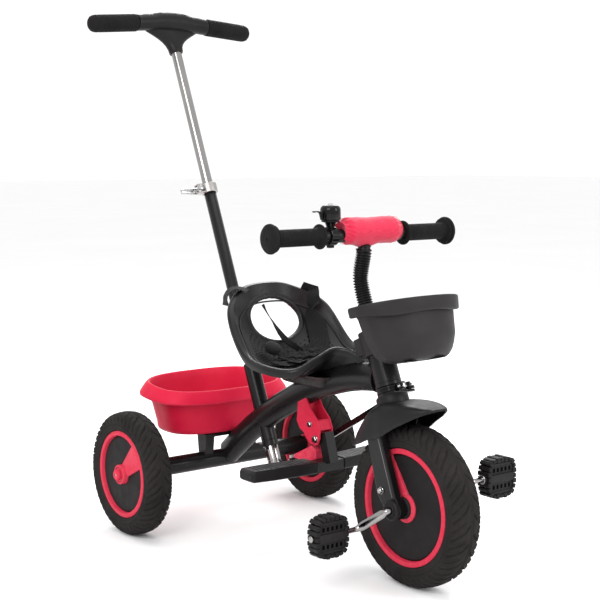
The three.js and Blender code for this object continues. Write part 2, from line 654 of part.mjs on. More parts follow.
function bucket() {
  const slope = (z) => BUCKET_SLOPE * THREE.MathUtils.clamp((z - 166) / 70, 0, 1);
  const at = (a, b, z) => ovalRing(BUCKET_X, z, a, b, 0.72, 36, slope(z));
  const rings = [
    at(50, 88, 158), at(62, 103, 162), at(66, 110, 172), at(73, 126, 232), at(83, 142, 224), at(84, 143, 229),
    at(73.5, 127, 247), at(70, 122, 246), at(63.5, 107, 173), at(59, 99, 164.6), at(48, 85, 161),
  ];
  add('rear_bucket', 'red_plastic', loft(rings));
  const [x, z] = [REAR_AXLE.x, REAR_AXLE.z];
  const wedge = plateXZ([[x - 10, z + 8], [x + 10, z + 8], [x + 15, 157], [x - 15, 157]], 38, 56);
  const bridge = box(x - 12, x + 12, -50, 50, 151, 157);
  const around = alongY(disc(BEAM_R + GAP, -90, 90)).translate(x, 0, z);
  add('bucket_bracket', 'black_plastic', cut(join(wedge, mirrored(wedge), bridge), around));
}

// ---- Footrest --------------------------------------------------------------------------------
const FOOTREST_CHEEK = [
  [24, 262], [62, 274], [84, 224], [85, 196], [74, 180], [58, 178], [46, 186], [44, 200], [30, 212],
];

function footrestBracket() {
  const plate = (y0, y1) => plateXZ(FOOTREST_CHEEK, y0, y1);
  const web = plateXZ([[-10, 250], [30, 262], [30, 206], [12, 200], [-4, 210]], -12, 12);
  const front = plateXZ([[56, 268], [62, 268], [80, 222], [74, 220]], -12, 12);
  const tube = swept(MAIN_PATH, MAIN_HALF_HEIGHT + 0.4, MAIN_HALF_WIDTH + 0.4, 0, MAIN_SIDES, MAIN_STEPS);
  const raised = MAIN_PATH.map(([x, z]) => [x, z + 34]);
  const above = swept(raised, MAIN_HALF_HEIGHT + 14, 30, 0, MAIN_SIDES, MAIN_STEPS);
  const bolt = (x, z) => alongY(disc(4, -40, 40, 12)).translate(x, 0, z);
  const bores = [bolt(FOOTREST_PIVOT.x, FOOTREST_PIVOT.z), bolt(45, 213)];
  const cheeks = join(plate(-14.5, -11.5), plate(11.5, 14.5), web, front);
  add('footrest_bracket', 'red_plastic', cut(cheeks, tube, above, ...bores));
  const pin = alongY(disc(3.6, -16, 16, 12));
  const heads = [alongY(disc(6, -19, -14.8, 6)), alongY(disc(6, 14.8, 19, 6))];
  add('footrest_pivot_bolt', 'zinc', join(pin, ...heads).translate(FOOTREST_PIVOT.x, 0, FOOTREST_PIVOT.z));
}

function footrest() {
  const arm = plateXZ([[61, 199.5], [78.5, 204.5], [93, 155], [75.5, 150]], -9, 9);
  const lug = alongY(disc(9, -9, 9)).translate(FOOTREST_PIVOT.x, 0, FOOTREST_PIVOT.z);
  const link = plateXZ([[60, 181], [80, 178], [76, 199], [60, 199]], -9, 9);
  const crossbar = box(58, 84, -27.7, 27.7, 139, 156);
  const hole = alongY(disc(4, -40, 40, 12)).translate(FOOTREST_PIVOT.x, 0, FOOTREST_PIVOT.z);
  add('footrest_arm', 'black_paint', cut(join(arm, lug, link, crossbar), hole));
  const section = (y, back, front, low, top) => ellipse(1, 1, 16).map((p) => new THREE.Vector3(
    (back + front) / 2 + ((front - back) / 2) * Math.sign(p.x) * Math.abs(p.x) ** 0.45,
    y,
    (low + top) / 2 + ((top - low) / 2) * Math.sign(p.y) * Math.abs(p.y) ** 0.45,
  ));
  const pad = loft([
    section(28, 42, 86, 138, 158), section(60, 40, 84, 137.5, 158.5), section(110, 33, 78, 137, 158),
    section(144, 30, 71, 137, 157), section(150, 35, 66, 140, 154),
  ]);
  add('footrest_pad_left', 'black_plastic', pad);
  add('footrest_pad_right', 'black_plastic', mirrored(pad));
  const brace = plateXZ([[-2, 147], [-2, 153], [46, 177], [58, 170], [57.5, 147]], -11, 11);
  add('footrest_brace', 'red_plastic', cut(brace, alongY(disc(10, -20, 20)).translate(60, 0, 190)));
}

// ---- Push bar --------------------------------------------------------------------------------
const CLAMP_S = 431; // middle of the telescope clamp along the push bar axis
const HANDLE_X = -396.5;
const HANDLE_TOP = 925;

function pushBar() {
  add('push_tube_lower', 'black_paint', ring(PUSH_LOWER_R, PUSH_UPPER_R + GAP, -87, 434, 16), pushing);
  add('push_tube_upper', 'chrome', ring(PUSH_UPPER_R, 8, 254, 722, 16), pushing);
  add('clutch_sleeve', 'chrome', ring(12.6, PUSH_LOWER_R + GAP, -87.6, -53.4), pushing);
  const [low, high] = [LINK_REAR_S - 8.4, LINK_REAR_S - 5];
  const arm = join(
    disc(14.5, low, high),
    box(-7, 7, 0, LINK_OFFSET, low, high),
    disc(8, low, high).translate(0, LINK_OFFSET, 0),
    disc(3, low, LINK_REAR_S + 4, 12).translate(0, LINK_OFFSET, 0),
    disc(5.6, LINK_REAR_S + 3, LINK_REAR_S + 8, 6).translate(0, LINK_OFFSET, 0),
  );
  add('link_arm', 'chrome', arm, pushing);
  const ears = cut(box(-7, 7, -27, -12, CLAMP_S - 9, CLAMP_S + 9), disc(12, 400, 450));
  const collar = join(ring(15, PUSH_LOWER_R + GAP, CLAMP_S - 9, CLAMP_S + 9), ears);
  const slot = box(-30, 30, -28, -21, CLAMP_S - 5.6, CLAMP_S + 5.6);
  const bolt = alongX(disc(2.8, -30, 30, 12)).translate(0, -22.5, CLAMP_S);
  add('clamp_collar', 'black_plastic', cut(collar, slot, bolt), pushing);
  const lever = join(
    alongX(disc(5, -12, -7.3, 12)).translate(0, -22.5, CLAMP_S),
    box(-12, -8.5, -66, -22, CLAMP_S - 5, CLAMP_S + 5),
    alongX(disc(5, 7.3, 12, 12)).translate(0, -22.5, CLAMP_S),
    alongX(disc(2.5, -9, 9, 12)).translate(0, -22.5, CLAMP_S),
  );
  add('clamp_lever', 'zinc', lever, pushing);
}

function linkRod() {
  const lean = new THREE.Vector3(-Math.sin(TILT), 0, Math.cos(TILT));
  const rear = PUSH_ORIGIN.clone().addScaledVector(lean, LINK_REAR_S);
  const front = STEER_ORIGIN.clone().addScaledVector(lean, LINK_FRONT_S);
  const between = front.clone().sub(rear);
  const run = between.x * Math.cos(TILT) + between.z * Math.sin(TILT);
  const rise = between.dot(lean);
  const bar = plateXZ([[5, -4.5], [run - 5, rise - 4.5], [run - 5, rise + 4.5], [5, 4.5]], -2.5, 2.5);
  const rearEye = ring(8, 3.5, -2.4, 2.4, 12);
  const frontEye = ring(8.5, 4.2, -2.4, 2.4, 12).translate(run, 0, rise);
  const bores = [disc(3.5, -20, 20, 12), disc(4.2, rise - 20, rise + 20, 12).translate(run, 0, 0)];
  const ends = [[0, 0], [run, rise]].flatMap(([x, s]) => [
    disc(13, s - 20, s - 2.4).translate(x, 0, 0), disc(13, s + 2.4, s + 20).translate(x, 0, 0),
  ]);
  const rod = join(cut(bar, ...bores, ...ends), rearEye, frontEye);
  add('link_rod', 'black_paint', rod.translate(0, LINK_OFFSET, LINK_REAR_S), pushing);
}

function handle() {
  const bar = (points) => loft(points.map(([y, rx, rz, z]) => ellipse(rx, rz, 20).map(
    (p) => new THREE.Vector3(HANDLE_X + p.x, y, z + p.y),
  )));
  const crest = HANDLE_TOP - 18;
  const cross = bar([
    [-75, 15, 15, 902], [-50, 15.4, 15.6, 904], [-22, 16, 17.5, crest],
    [22, 16, 17.5, crest], [50, 15.4, 15.6, 904], [75, 15, 15, 902],
  ]);
  const stubs = [-1, 1].map((side) => roundCore([side * 70, 902], [side * 160, 895], 8));
  const neckSizes = [[704, 13, 13], [716, 13, 15], [734, 12, 26], [748, 10, 40]];
  const neckRing = (s, a, b) => ellipse(a, b, 20).map((p) => new THREE.Vector3(p.x, p.y, s));
  const neck = placed(loft(neckSizes.map((size) => neckRing(...size))), PUSH_ORIGIN);
  const socket = placed(disc(PUSH_UPPER_R + GAP, 690, 722 + GAP), PUSH_ORIGIN);
  add('t_handle', 'black_plastic', cut(join(cross, neck, ...stubs), socket));
  [['right', -1], ['left', 1]].forEach(([name, side]) => {
    const profile = [
      [8.5, 77], [15, 77], [16, 84], [16, 160], [13.5, 170], [6, 174], [0, 174.5], [0, 162], [8.5, 162],
    ];
    const sleeve = alongY(turned(profile, 16)).scale(1, side, 1);
    const droop = Math.atan2(7, 90) * side;
    const pivot = [0, 70 * side];
    sleeve.translate(0, -pivot[1], 0).rotateX(-droop).translate(HANDLE_X, pivot[1], 902);
    add(`push_grip_${name}`, 'rubber_foam', sleeve);
  });
}

/** A round core from one [y, z] point to another in the handle's plane. */
function roundCore([y0, z0], [y1, z1], radius) {
  const path = new THREE.LineCurve3(new THREE.Vector3(HANDLE_X, y0, z0), new THREE.Vector3(HANDLE_X, y1, z1));
  const shape = new THREE.Shape(ellipse(radius, radius, 16));
  return new THREE.ExtrudeGeometry(shape, { steps: 1, extrudePath: path, bevelEnabled: false });
}

frame();
wheels();
fork();
mudguard();
steeringHardware();
cranks();
handlebar();
basket();
seat();
harness();
bucket();
footrestBracket();
footrest();
pushBar();
linkRod();
handle();

export default trike;
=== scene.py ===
"""Children's tricycle with a parent push bar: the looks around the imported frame. Lengths here are in
millimetres until a mesh is made. X is forward, Y is the rider's left, Z is up."""
import json
import math
import random

import bmesh
import bpy
from mathutils import Matrix, Vector, noise


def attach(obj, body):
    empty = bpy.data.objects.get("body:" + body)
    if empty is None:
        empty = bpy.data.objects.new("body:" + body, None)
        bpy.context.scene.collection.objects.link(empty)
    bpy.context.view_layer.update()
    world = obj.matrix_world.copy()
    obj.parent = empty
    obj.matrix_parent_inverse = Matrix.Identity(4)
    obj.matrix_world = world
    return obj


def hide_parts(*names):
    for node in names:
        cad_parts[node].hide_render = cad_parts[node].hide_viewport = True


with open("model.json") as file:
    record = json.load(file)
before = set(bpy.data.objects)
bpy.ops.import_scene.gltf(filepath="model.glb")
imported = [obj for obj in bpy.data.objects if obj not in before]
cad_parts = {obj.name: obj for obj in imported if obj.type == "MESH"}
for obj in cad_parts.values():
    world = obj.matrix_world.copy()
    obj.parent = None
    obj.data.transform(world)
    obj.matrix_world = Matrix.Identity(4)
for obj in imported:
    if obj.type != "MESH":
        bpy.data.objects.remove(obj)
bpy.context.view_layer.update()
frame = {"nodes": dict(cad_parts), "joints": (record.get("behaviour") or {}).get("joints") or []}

MM = 0.001
TAU = 2 * math.pi
TILT = math.radians(23)  # lean of the steering and push bar axes
BASKET_TILT = math.radians(15)
HANDS = (("right", -1), ("left", 1))
JOINTS = {joint["name"]: Vector([round(v / MM, 3) for v in joint["pos_m"]])
          for joint in frame["joints"] if joint.get("pos_m")}
STEER = JOINTS["steer"]
PUSH = JOINTS["push_bar_turn"]
FRONT_AXLE = JOINTS["front_wheel_spin"]
REAR_WHEEL = JOINTS["rear_left_wheel_spin"]
REAR_AXLE = Vector((REAR_WHEEL.x, 0, REAR_WHEEL.z))
REAR_TRACK_HALF = 202.9
BAR = Vector((160.7, 0, 533.6))  # middle of the handlebar
HANDLE_X = -396.5
FOOTREST_PIVOT = JOINTS["footrest_fold"]
FOOTREST_RIVET = (45, 0, 213)
HOLE_MIDDLE, HOLE_WIDE, HOLE_TALL = 377, 54, 36  # the backrest's oval hole: height, half sizes
HOLE_TRIM = 0.6  # how far the visible hole is inside the frame's hole


# ---- Small maths ---------------------------------------------------------------------------------

def smooth(a, b, x):
    """0 below a, 1 above b, and an even ease between them."""
    t = min(1.0, max(0.0, (x - a) / (b - a)))
    return t * t * (3 - 2 * t)


def spow(v, p):
    return math.copysign(abs(v) ** p, v)


def leaned(origin, angle=TILT):
    """Frame with z up a leaning axis and x forward and up, at a point."""
    c, s = math.cos(angle), math.sin(angle)
    return Matrix(((c, 0, -s, origin[0]), (0, 1, 0, origin[1]), (s, 0, c, origin[2]), (0, 0, 0, 1)))


STEERING = leaned(STEER)
PUSHING = leaned(PUSH)
CARRIER = leaned(STEER, BASKET_TILT)


def along_y(centre, side=1):
    """Frame with local z along +Y (or -Y) and local x along +X, at a point."""
    return Matrix(((1, 0, 0, centre[0]), (0, 0, side, centre[1]), (0, -side, 0, centre[2]), (0, 0, 0, 1)))


def spline(points, closed=False):
    """Centripetal-like Catmull-Rom through points: a function of a share from 0 to 1."""
    pts = [Vector(p) for p in points]
    n = len(pts)
    spans = n if closed else n - 1

    def at(u):
        u = (u % 1.0) if closed else min(1.0, max(0.0, u))
        f = u * spans
        k = min(int(f), spans - 1)
        t = f - k
        if closed:
            a, b, c, d = (pts[(k + j - 1) % n] for j in range(4))
        else:
            b, c = pts[k], pts[k + 1]
            a = pts[k - 1] if k > 0 else b * 2 - c
            d = pts[k + 2] if k + 2 < n else c * 2 - b
        return 0.5 * ((2 * b) + (c - a) * t + (2 * a - 5 * b + 4 * c - d) * t * t
                      + (3 * b - a - 3 * c + d) * t ** 3)
    return at


def even(points, count, closed=False):
    """Points at even distances along the spline."""
    at = spline(points, closed)
    fine = [at(i / 800) for i in range(801)]
    run = [0.0]
    for a, b in zip(fine, fine[1:]):
        run.append(run[-1] + (b - a).length)
    last = count if closed else count - 1
    out, k = [], 0
    for i in range(count):
        want = run[-1] * i / last
        while k < 799 and run[k + 1] < want:
            k += 1
        share = (want - run[k]) / max(1e-9, run[k + 1] - run[k])
        out.append(fine[k].lerp(fine[k + 1], share))
    return out


# ---- Materials -----------------------------------------------------------------------------------

class Nodes:
    """A Principled material and short calls to wire its texture nodes."""

    def __init__(self, name):
        self.mat = bpy.data.materials.new(name)
        self.mat.use_nodes = True
        self.tree = self.mat.node_tree
        self.shader = self.tree.nodes["Principled BSDF"]
        self.coords = self.tree.nodes.new("ShaderNodeTexCoord").outputs["Object"]

    def new(self, kind, **values):
        node = self.tree.nodes.new("ShaderNode" + kind)
        for key, value in values.items():
            if key in node.inputs:
                node.inputs[key].default_value = value
            else:
                setattr(node, key, value)
        return node

    def link(self, a, b):
        self.tree.links.new(a, b)

    def noise(self, scale, detail=3.0, rough=0.55):
        node = self.new("TexNoise", Scale=scale, Detail=detail, Roughness=rough)
        self.link(self.coords, node.inputs["Vector"])
        return node.outputs["Fac"]

    def spread(self, fac, low, high, start=0.3, end=0.7):
        node = self.new("MapRange")
        for key, value in zip(("From Min", "From Max", "To Min", "To Max"), (start, end, low, high)):
            node.inputs[key].default_value = value
        self.link(fac, node.inputs["Value"])
        return node.outputs["Result"]

    def mix(self, fac, a, b):
        node = self.new("Mix", data_type="RGBA")
        self.link(fac, node.inputs["Factor"])
        for socket, value in ((node.inputs[6], a), (node.inputs[7], b)):
            if isinstance(value, tuple):
                socket.default_value = (*value, 1)
            else:
                self.link(value, socket)
        return node.outputs[2]

    def bump(self, height, strength, distance, before=None):
        node = self.new("Bump", Strength=strength, Distance=distance)
        self.link(height, node.inputs["Height"])
        if before is not None:
            self.link(before, node.inputs["Normal"])
        return node.outputs["Normal"]

    def math(self, op, a, b=0.0):
        node = self.new("Math", operation=op)
        for socket, value in zip(node.inputs, (a, b)):
            if isinstance(value, (int, float)):
                socket.default_value = value
            else:
                self.link(value, socket)
        return node.outputs[0]

    def out(self, **sockets):
        names = {"color": "Base Color", "rough": "Roughness", "normal": "Normal", "metal": "Metallic",
                 "coat": "Coat Weight", "coat_rough": "Coat Roughness", "sheen": "Sheen Weight",
                 "sheen_rough": "Sheen Roughness", "specular": "Specular IOR Level"}
        for key, value in sockets.items():
            socket = self.shader.inputs[names[key]]
            if isinstance(value, (int, float)):
                socket.default_value = value
            elif isinstance(value, tuple):
                socket.default_value = (*value, 1)
            else:
                self.link(value, socket)
        return self.mat


def edge_wear(n, low=0.53, high=0.62):
    """Bright where an edge sticks out, broken up by fine noise."""
    point = n.new("NewGeometry").outputs["Pointiness"]
    edge = n.spread(point, 0.0, 1.0, low, high)
    return n.math("MULTIPLY", edge, n.spread(n.noise(140, 2), 0.2, 1.0))


def moulded(name, dark, light, rough=(0.42, 0.6), grain=0.12, grain_scale=900, wear=None,
             specular=0.13):
    """Injection-moulded plastic: fine leather-like grain, faint flow clouds and paler edges."""
    n = Nodes(name)
    colour = n.mix(n.spread(n.noise(14, 4), 0, 1), dark, light)
    if wear:
        colour = n.mix(n.math("MULTIPLY", edge_wear(n), 0.5), colour, wear)
    cells = n.new("TexVoronoi", Scale=grain_scale, feature="F1")
    n.link(n.coords, cells.inputs["Vector"])
    fine = n.bump(cells.outputs["Distance"], grain, 0.0004)
    wave = n.bump(n.noise(24, 2), 0.06, 0.004, fine)
    return n.out(color=colour, rough=n.spread(n.noise(45, 4), *rough), normal=wave, specular=specular)


def painted(name, dark, light, rough=(0.22, 0.36)):
    """Powder-coated steel with faint orange peel and soft changes of gloss."""
    n = Nodes(name)
    colour = n.mix(n.spread(n.noise(9, 3), 0, 1), dark, light)
    peel = n.bump(n.noise(330, 2), 0.05, 0.0004)
    return n.out(color=colour, rough=n.spread(n.noise(12, 3), *rough), normal=peel, coat=0.06,
                 coat_rough=0.12, specular=0.16)


def plated(name, colour, rough=(0.05, 0.16)):
    """Bright plating with fine draw lines and faint smears."""
    n = Nodes(name)
    tint = tuple(c * 0.86 for c in colour)
    base = n.mix(n.spread(n.noise(22, 3), 0, 1), tint, colour)
    lines = n.bump(n.noise(1600, 1), 0.03, 0.0002)
    return n.out(color=base, rough=n.spread(n.noise(70, 5), *rough), metal=1.0, normal=lines)


def foam(name, dark, light, rough=(0.72, 0.9), scale=1500):
    """Closed-cell foam: tiny pits and dusty high spots."""
    n = Nodes(name)
    colour = n.mix(n.spread(n.noise(18, 5), 0, 1), dark, light)
    colour = n.mix(n.math("MULTIPLY", edge_wear(n, 0.52, 0.62), 0.6), colour, tuple(c * 2.2 for c in light))
    cells = n.new("TexVoronoi", Scale=scale, feature="F1")
    n.link(n.coords, cells.inputs["Vector"])
    pits = n.bump(cells.outputs["Distance"], 0.35, 0.0004)
    gloss = n.spread(n.noise(80, 4), *rough)
    normal = n.bump(n.noise(90, 3), 0.1, 0.002, pits)
    return n.out(color=colour, rough=gloss, normal=normal, specular=0.08)


def woven(name, dark, light, thread, rough=0.86, sheen=0.25, strength=0.5, turn=0.0):
    """Plain weave: two crossed wave sets in object space, with slubs and sheen."""
    n = Nodes(name)
    place = n.new("Mapping")
    place.inputs["Rotation"].default_value = (turn, turn, turn)
    n.link(n.coords, place.inputs["Vector"])
    weave = None
    for axis in ("X", "Y", "Z"):
        band = n.new("TexWave", wave_type="BANDS", bands_direction=axis, Scale=thread, Distortion=0.6)
        n.link(place.outputs["Vector"], band.inputs["Vector"])
        weave = band.outputs["Fac"] if weave is None else n.math("MULTIPLY", weave, band.outputs["Fac"])
    slubs = n.noise(thread * 0.9, 3)
    both = n.math("ADD", n.math("MULTIPLY", weave, 0.8), n.math("MULTIPLY", slubs, 0.5))
    colour = n.mix(n.spread(both, 0, 1, 0.1, 0.9), dark, light)
    normal = n.bump(both, strength, 0.0006)
    n.shader.inputs["Sheen Roughness"].default_value = 0.4
    return n.out(color=colour, rough=n.spread(slubs, rough - 0.06, rough + 0.06), normal=normal, sheen=sheen,
                 specular=0.25)


PAINT = painted("black_powder_coat", (0.0052, 0.0048, 0.0050), (0.0085, 0.0078, 0.0080))
GLOSS = painted("black_gloss", (0.003, 0.003, 0.003), (0.005, 0.005, 0.005), (0.08, 0.16))
SLEEVE_MAT = painted("ribbed_sleeve", (0.0035, 0.0032, 0.0034), (0.006, 0.0056, 0.0058), (0.25, 0.4))
# painted highlight: grey paint for the thin strip on the fork legs that stands in for light on their front
# bend
FORK_EDGE_HIGHLIGHT = painted("fork_edge_highlight", (0.10, 0.096, 0.094), (0.15, 0.145, 0.14), (0.2, 0.34))
PLASTIC = moulded("black_plastic", (0.0155, 0.0137, 0.0142), (0.0215, 0.0190, 0.0197), (0.38, 0.52),
                  wear=(0.055, 0.051, 0.053))
DARK = moulded("dark_plastic", (0.0075, 0.0067, 0.0070), (0.0115, 0.0104, 0.0108), (0.34, 0.5),
               wear=(0.030, 0.028, 0.029))
SEAT_SKIN = moulded("seat_plastic", (0.0062, 0.0054, 0.0056), (0.0100, 0.0088, 0.0091), (0.26, 0.40), 0.16,
                    800, (0.040, 0.037, 0.038), 0.2)
INFILL = moulded("grey_infill", (0.0095, 0.0082, 0.0086), (0.0135, 0.0118, 0.0124), (0.55, 0.72), 0.3, 1300)
TYRE = foam("foam_tyre", (0.0120, 0.0106, 0.0104), (0.022, 0.0192, 0.0188))
GRIP = foam("soft_grip", (0.0062, 0.0057, 0.0058), (0.0105, 0.0097, 0.0098), (0.6, 0.82), 2200)
PEDAL = moulded("pedal_plastic", (0.0080, 0.0072, 0.0074), (0.0125, 0.0113, 0.0116), (0.42, 0.6), 0.2, 900,
                (0.035, 0.033, 0.034))
# painted shade: near-black colour for the pedal holes and seat dimples, standing in for the shade inside them
PAINTED_SHADE_PIT = moulded("shadow_pit", (0.0010, 0.0009, 0.0009), (0.0020, 0.0018, 0.0018), (0.8, 0.95), specular=0.02)
RED = moulded("red_plastic", (0.490, 0.0095, 0.036), (0.570, 0.0165, 0.050), (0.36, 0.5), 0.08, 900,
              (0.70, 0.10, 0.15), 0.09)
RED_WHEEL = moulded("red_wheel", (0.470, 0.015, 0.042), (0.545, 0.024, 0.056), (0.4, 0.55), 0.1, 900,
                    (0.68, 0.13, 0.17), 0.09)
CHROME = plated("chrome", (0.33, 0.32, 0.315), (0.10, 0.22))
CHROME_DIM = plated("dark_chrome", (0.10, 0.10, 0.105), (0.2, 0.3))
ZINC = plated("zinc", (0.42, 0.42, 0.42), (0.22, 0.38))
CLAMP = plated("clamp_zinc", (0.40, 0.38, 0.37), (0.3, 0.45))
CLOTH = woven("red_cover", (0.50, 0.012, 0.044), (0.69, 0.034, 0.086), 520, 0.82, 0.35, 0.45)
WEB = woven("black_webbing", (0.0025, 0.0025, 0.003), (0.009, 0.009, 0.010), 420, 0.9, 0.06, 0.8, 0.6)
WEB_PAD = woven("black_padded", (0.003, 0.003, 0.0033), (0.009, 0.009, 0.010), 520, 0.88, 0.08, 0.6, 0.3)
RED_THREAD = woven("red_thread", (0.42, 0.008, 0.03), (0.62, 0.03, 0.07), 1800)


# ---- Mesh making ---------------------------------------------------------------------------------

def piece(name, verts, faces, body, material, slot, replaces=(), matrix=None, sharp=38):
    """A piece from points in millimetres, smooth but for its sharp edges, riding on its body."""
    mesh = bpy.data.meshes.new(name)
    m = matrix or Matrix.Identity(4)
    mesh.from_pydata([tuple((m @ Vector(v)) * MM) for v in verts], [], [tuple(f) for f in faces])
    bm = bmesh.new()
    bm.from_mesh(mesh)
    bmesh.ops.remove_doubles(bm, verts=bm.verts, dist=2e-6)
    bmesh.ops.recalc_face_normals(bm, faces=bm.faces)
    bm.to_mesh(mesh)
    bm.free()
    mesh.polygons.foreach_set("use_smooth", [True] * len(mesh.polygons))
    mesh.set_sharp_from_angle(angle=math.radians(sharp))
    obj = bpy.data.objects.new(name, mesh)
    bpy.context.scene.collection.objects.link(obj)
    mesh.materials.append(material)
    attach(obj, body)
    if replaces:
        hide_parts(*replaces)
    return obj


def bevelled(obj, width=0.6, segments=2, angle=35):
    mod = obj.modifiers.new("bevel", "BEVEL")
    mod.width = width * MM
    mod.segments = segments
    mod.limit_method = "ANGLE"
    mod.angle_limit = math.radians(angle)
    mod.harden_normals = False
    return obj


class Shape:
    """Vertices and faces gathered from several primitives, in millimetres."""

    def __init__(self):
        self.verts, self.faces = [], []

    def add(self, verts, faces, matrix=None):
        base = len(self.verts)
        self.verts += [tuple(matrix @ Vector(v)) if matrix else tuple(v) for v in verts]
        self.faces += [tuple(base + i for i in f) for f in faces]
        return self

    def turned(self, profile, sides=64, matrix=None, wave=None):
        """Revolution about local z of a closed [radius, z] loop, or an open one from axis to axis."""
        closed = not (abs(profile[0][0]) < 1e-6 and abs(profile[-1][0]) < 1e-6)
        verts, faces, rows = [], [], []
        for r, z in profile:
            if abs(r) < 1e-6:
                rows.append([len(verts)] * sides)
                verts.append((0, 0, z))
                continue
            row = []
            for i in range(sides):
                a = TAU * i / sides
                rr, zz = (r, z) if wave is None else wave(r, z, a)
                row.append(len(verts))
                verts.append((rr * math.cos(a), rr * math.sin(a), zz))
            rows.append(row)
        pairs = list(zip(rows, rows[1:])) + ([(rows[-1], rows[0])] if closed else [])
        for low, high in pairs:
            for i in range(sides):
                j = (i + 1) % sides
                face = []
                for v in (low[i], low[j], high[j], high[i]):
                    if v not in face:
                        face.append(v)
                if len(face) > 2:
                    faces.append(face)
        return self.add(verts, faces, matrix)

    def rod(self, radius, z0, z1, sides=32, matrix=None, edge=0.5):
        e = min(edge, radius * 0.4, abs(z1 - z0) * 0.4)
        return self.turned([(0, z0), (radius - e, z0), (radius, z0 + e), (radius, z1 - e), (radius - e, z1),
                            (0, z1)], sides, matrix)

    def tube(self, outer, inner, z0, z1, sides=48, matrix=None, edge=0.5):
        return self.turned([(inner, z0), (outer - edge, z0), (outer, z0 + edge), (outer, z1 - edge),
                            (outer - edge, z1), (inner, z1)], sides, matrix)

    def loft(self, rings, matrix=None, caps=(True, True), loop=False):
        count = len(rings[0])
        verts = [p for ring in rings for p in ring]
        faces = []
        last = len(rings) if loop else len(rings) - 1
        for k in range(last):
            a, b = k * count, ((k + 1) % len(rings)) * count
            for i in range(count):
                j = (i + 1) % count
                faces.append((a + i, a + j, b + j, b + i))
        for k, wanted in ((0, caps[0]), (len(rings) - 1, caps[1])):
            if wanted and not loop:
                middle = sum((Vector(p) for p in rings[k]), Vector()) / count
                verts.append(middle)
                faces += [(k * count + i, k * count + (i + 1) % count, len(verts) - 1) for i in range(count)]
        return self.add(verts, faces, matrix)

    def sweep(self, path, section, matrix=None, side=(0, 1, 0), caps=(True, True)):
        """section(share, index) gives points (u, v): u along side, v across it, round each path point."""
        rings = []
        across = Vector(side).normalized()
        for i, p in enumerate(path):
            ahead = (path[min(i + 1, len(path) - 1)] - path[max(i - 1, 0)]).normalized()
            up = ahead.cross(across).normalized()
            flat = up.cross(ahead).normalized()
            rings.append([p + flat * u + up * v for u, v in section(i / (len(path) - 1), i)])
        return self.loft(rings, matrix, caps)

    def prism(self, outline, y0, y1, matrix=None):
        """An XZ outline given thickness along Y."""
        n = len(outline)
        verts = [(x, y0, z) for x, z in outline] + [(x, y1, z) for x, z in outline]
        faces = [tuple(range(n)), tuple(range(2 * n - 1, n - 1, -1))]
        faces += [(i, (i + 1) % n, n + (i + 1) % n, n + i) for i in range(n)]
        return self.add(verts, faces, matrix)

    def box(self, x0, x1, y0, y1, z0, z1, matrix=None):
        return self.prism([(x0, z0), (x1, z0), (x1, z1), (x0, z1)], y0, y1, matrix)

    def nut(self, size, z0, z1, matrix=None):
        ring = lambda r, z: [(r * math.cos(TAU * i / 6), r * math.sin(TAU * i / 6), z) for i in range(6)]
        e = (z1 - z0) * 0.18
        rings = [ring(size * 0.92, z0), ring(size, z0 + e), ring(size, z1 - e), ring(size * 0.88, z1)]
        return self.loft(rings, matrix)

    def make(self, name, body, material, slot, replaces=(), **more):
        return piece(name, self.verts, self.faces, body, material, slot, replaces, **more)


def circle(r, count=24, rz=None):
    return [(r * math.cos(TAU * i / count), (rz or r) * math.sin(TAU * i / count)) for i in range(count)]


# ---- Wheels --------------------------------------------------------------------------------------

TREAD_END, SHOULDER_END = 0.3, 0.62  # shares of a tyre's half profile, from the middle of the tread
CROWN_DROP = 1.2
TYRE_STEPS = 72


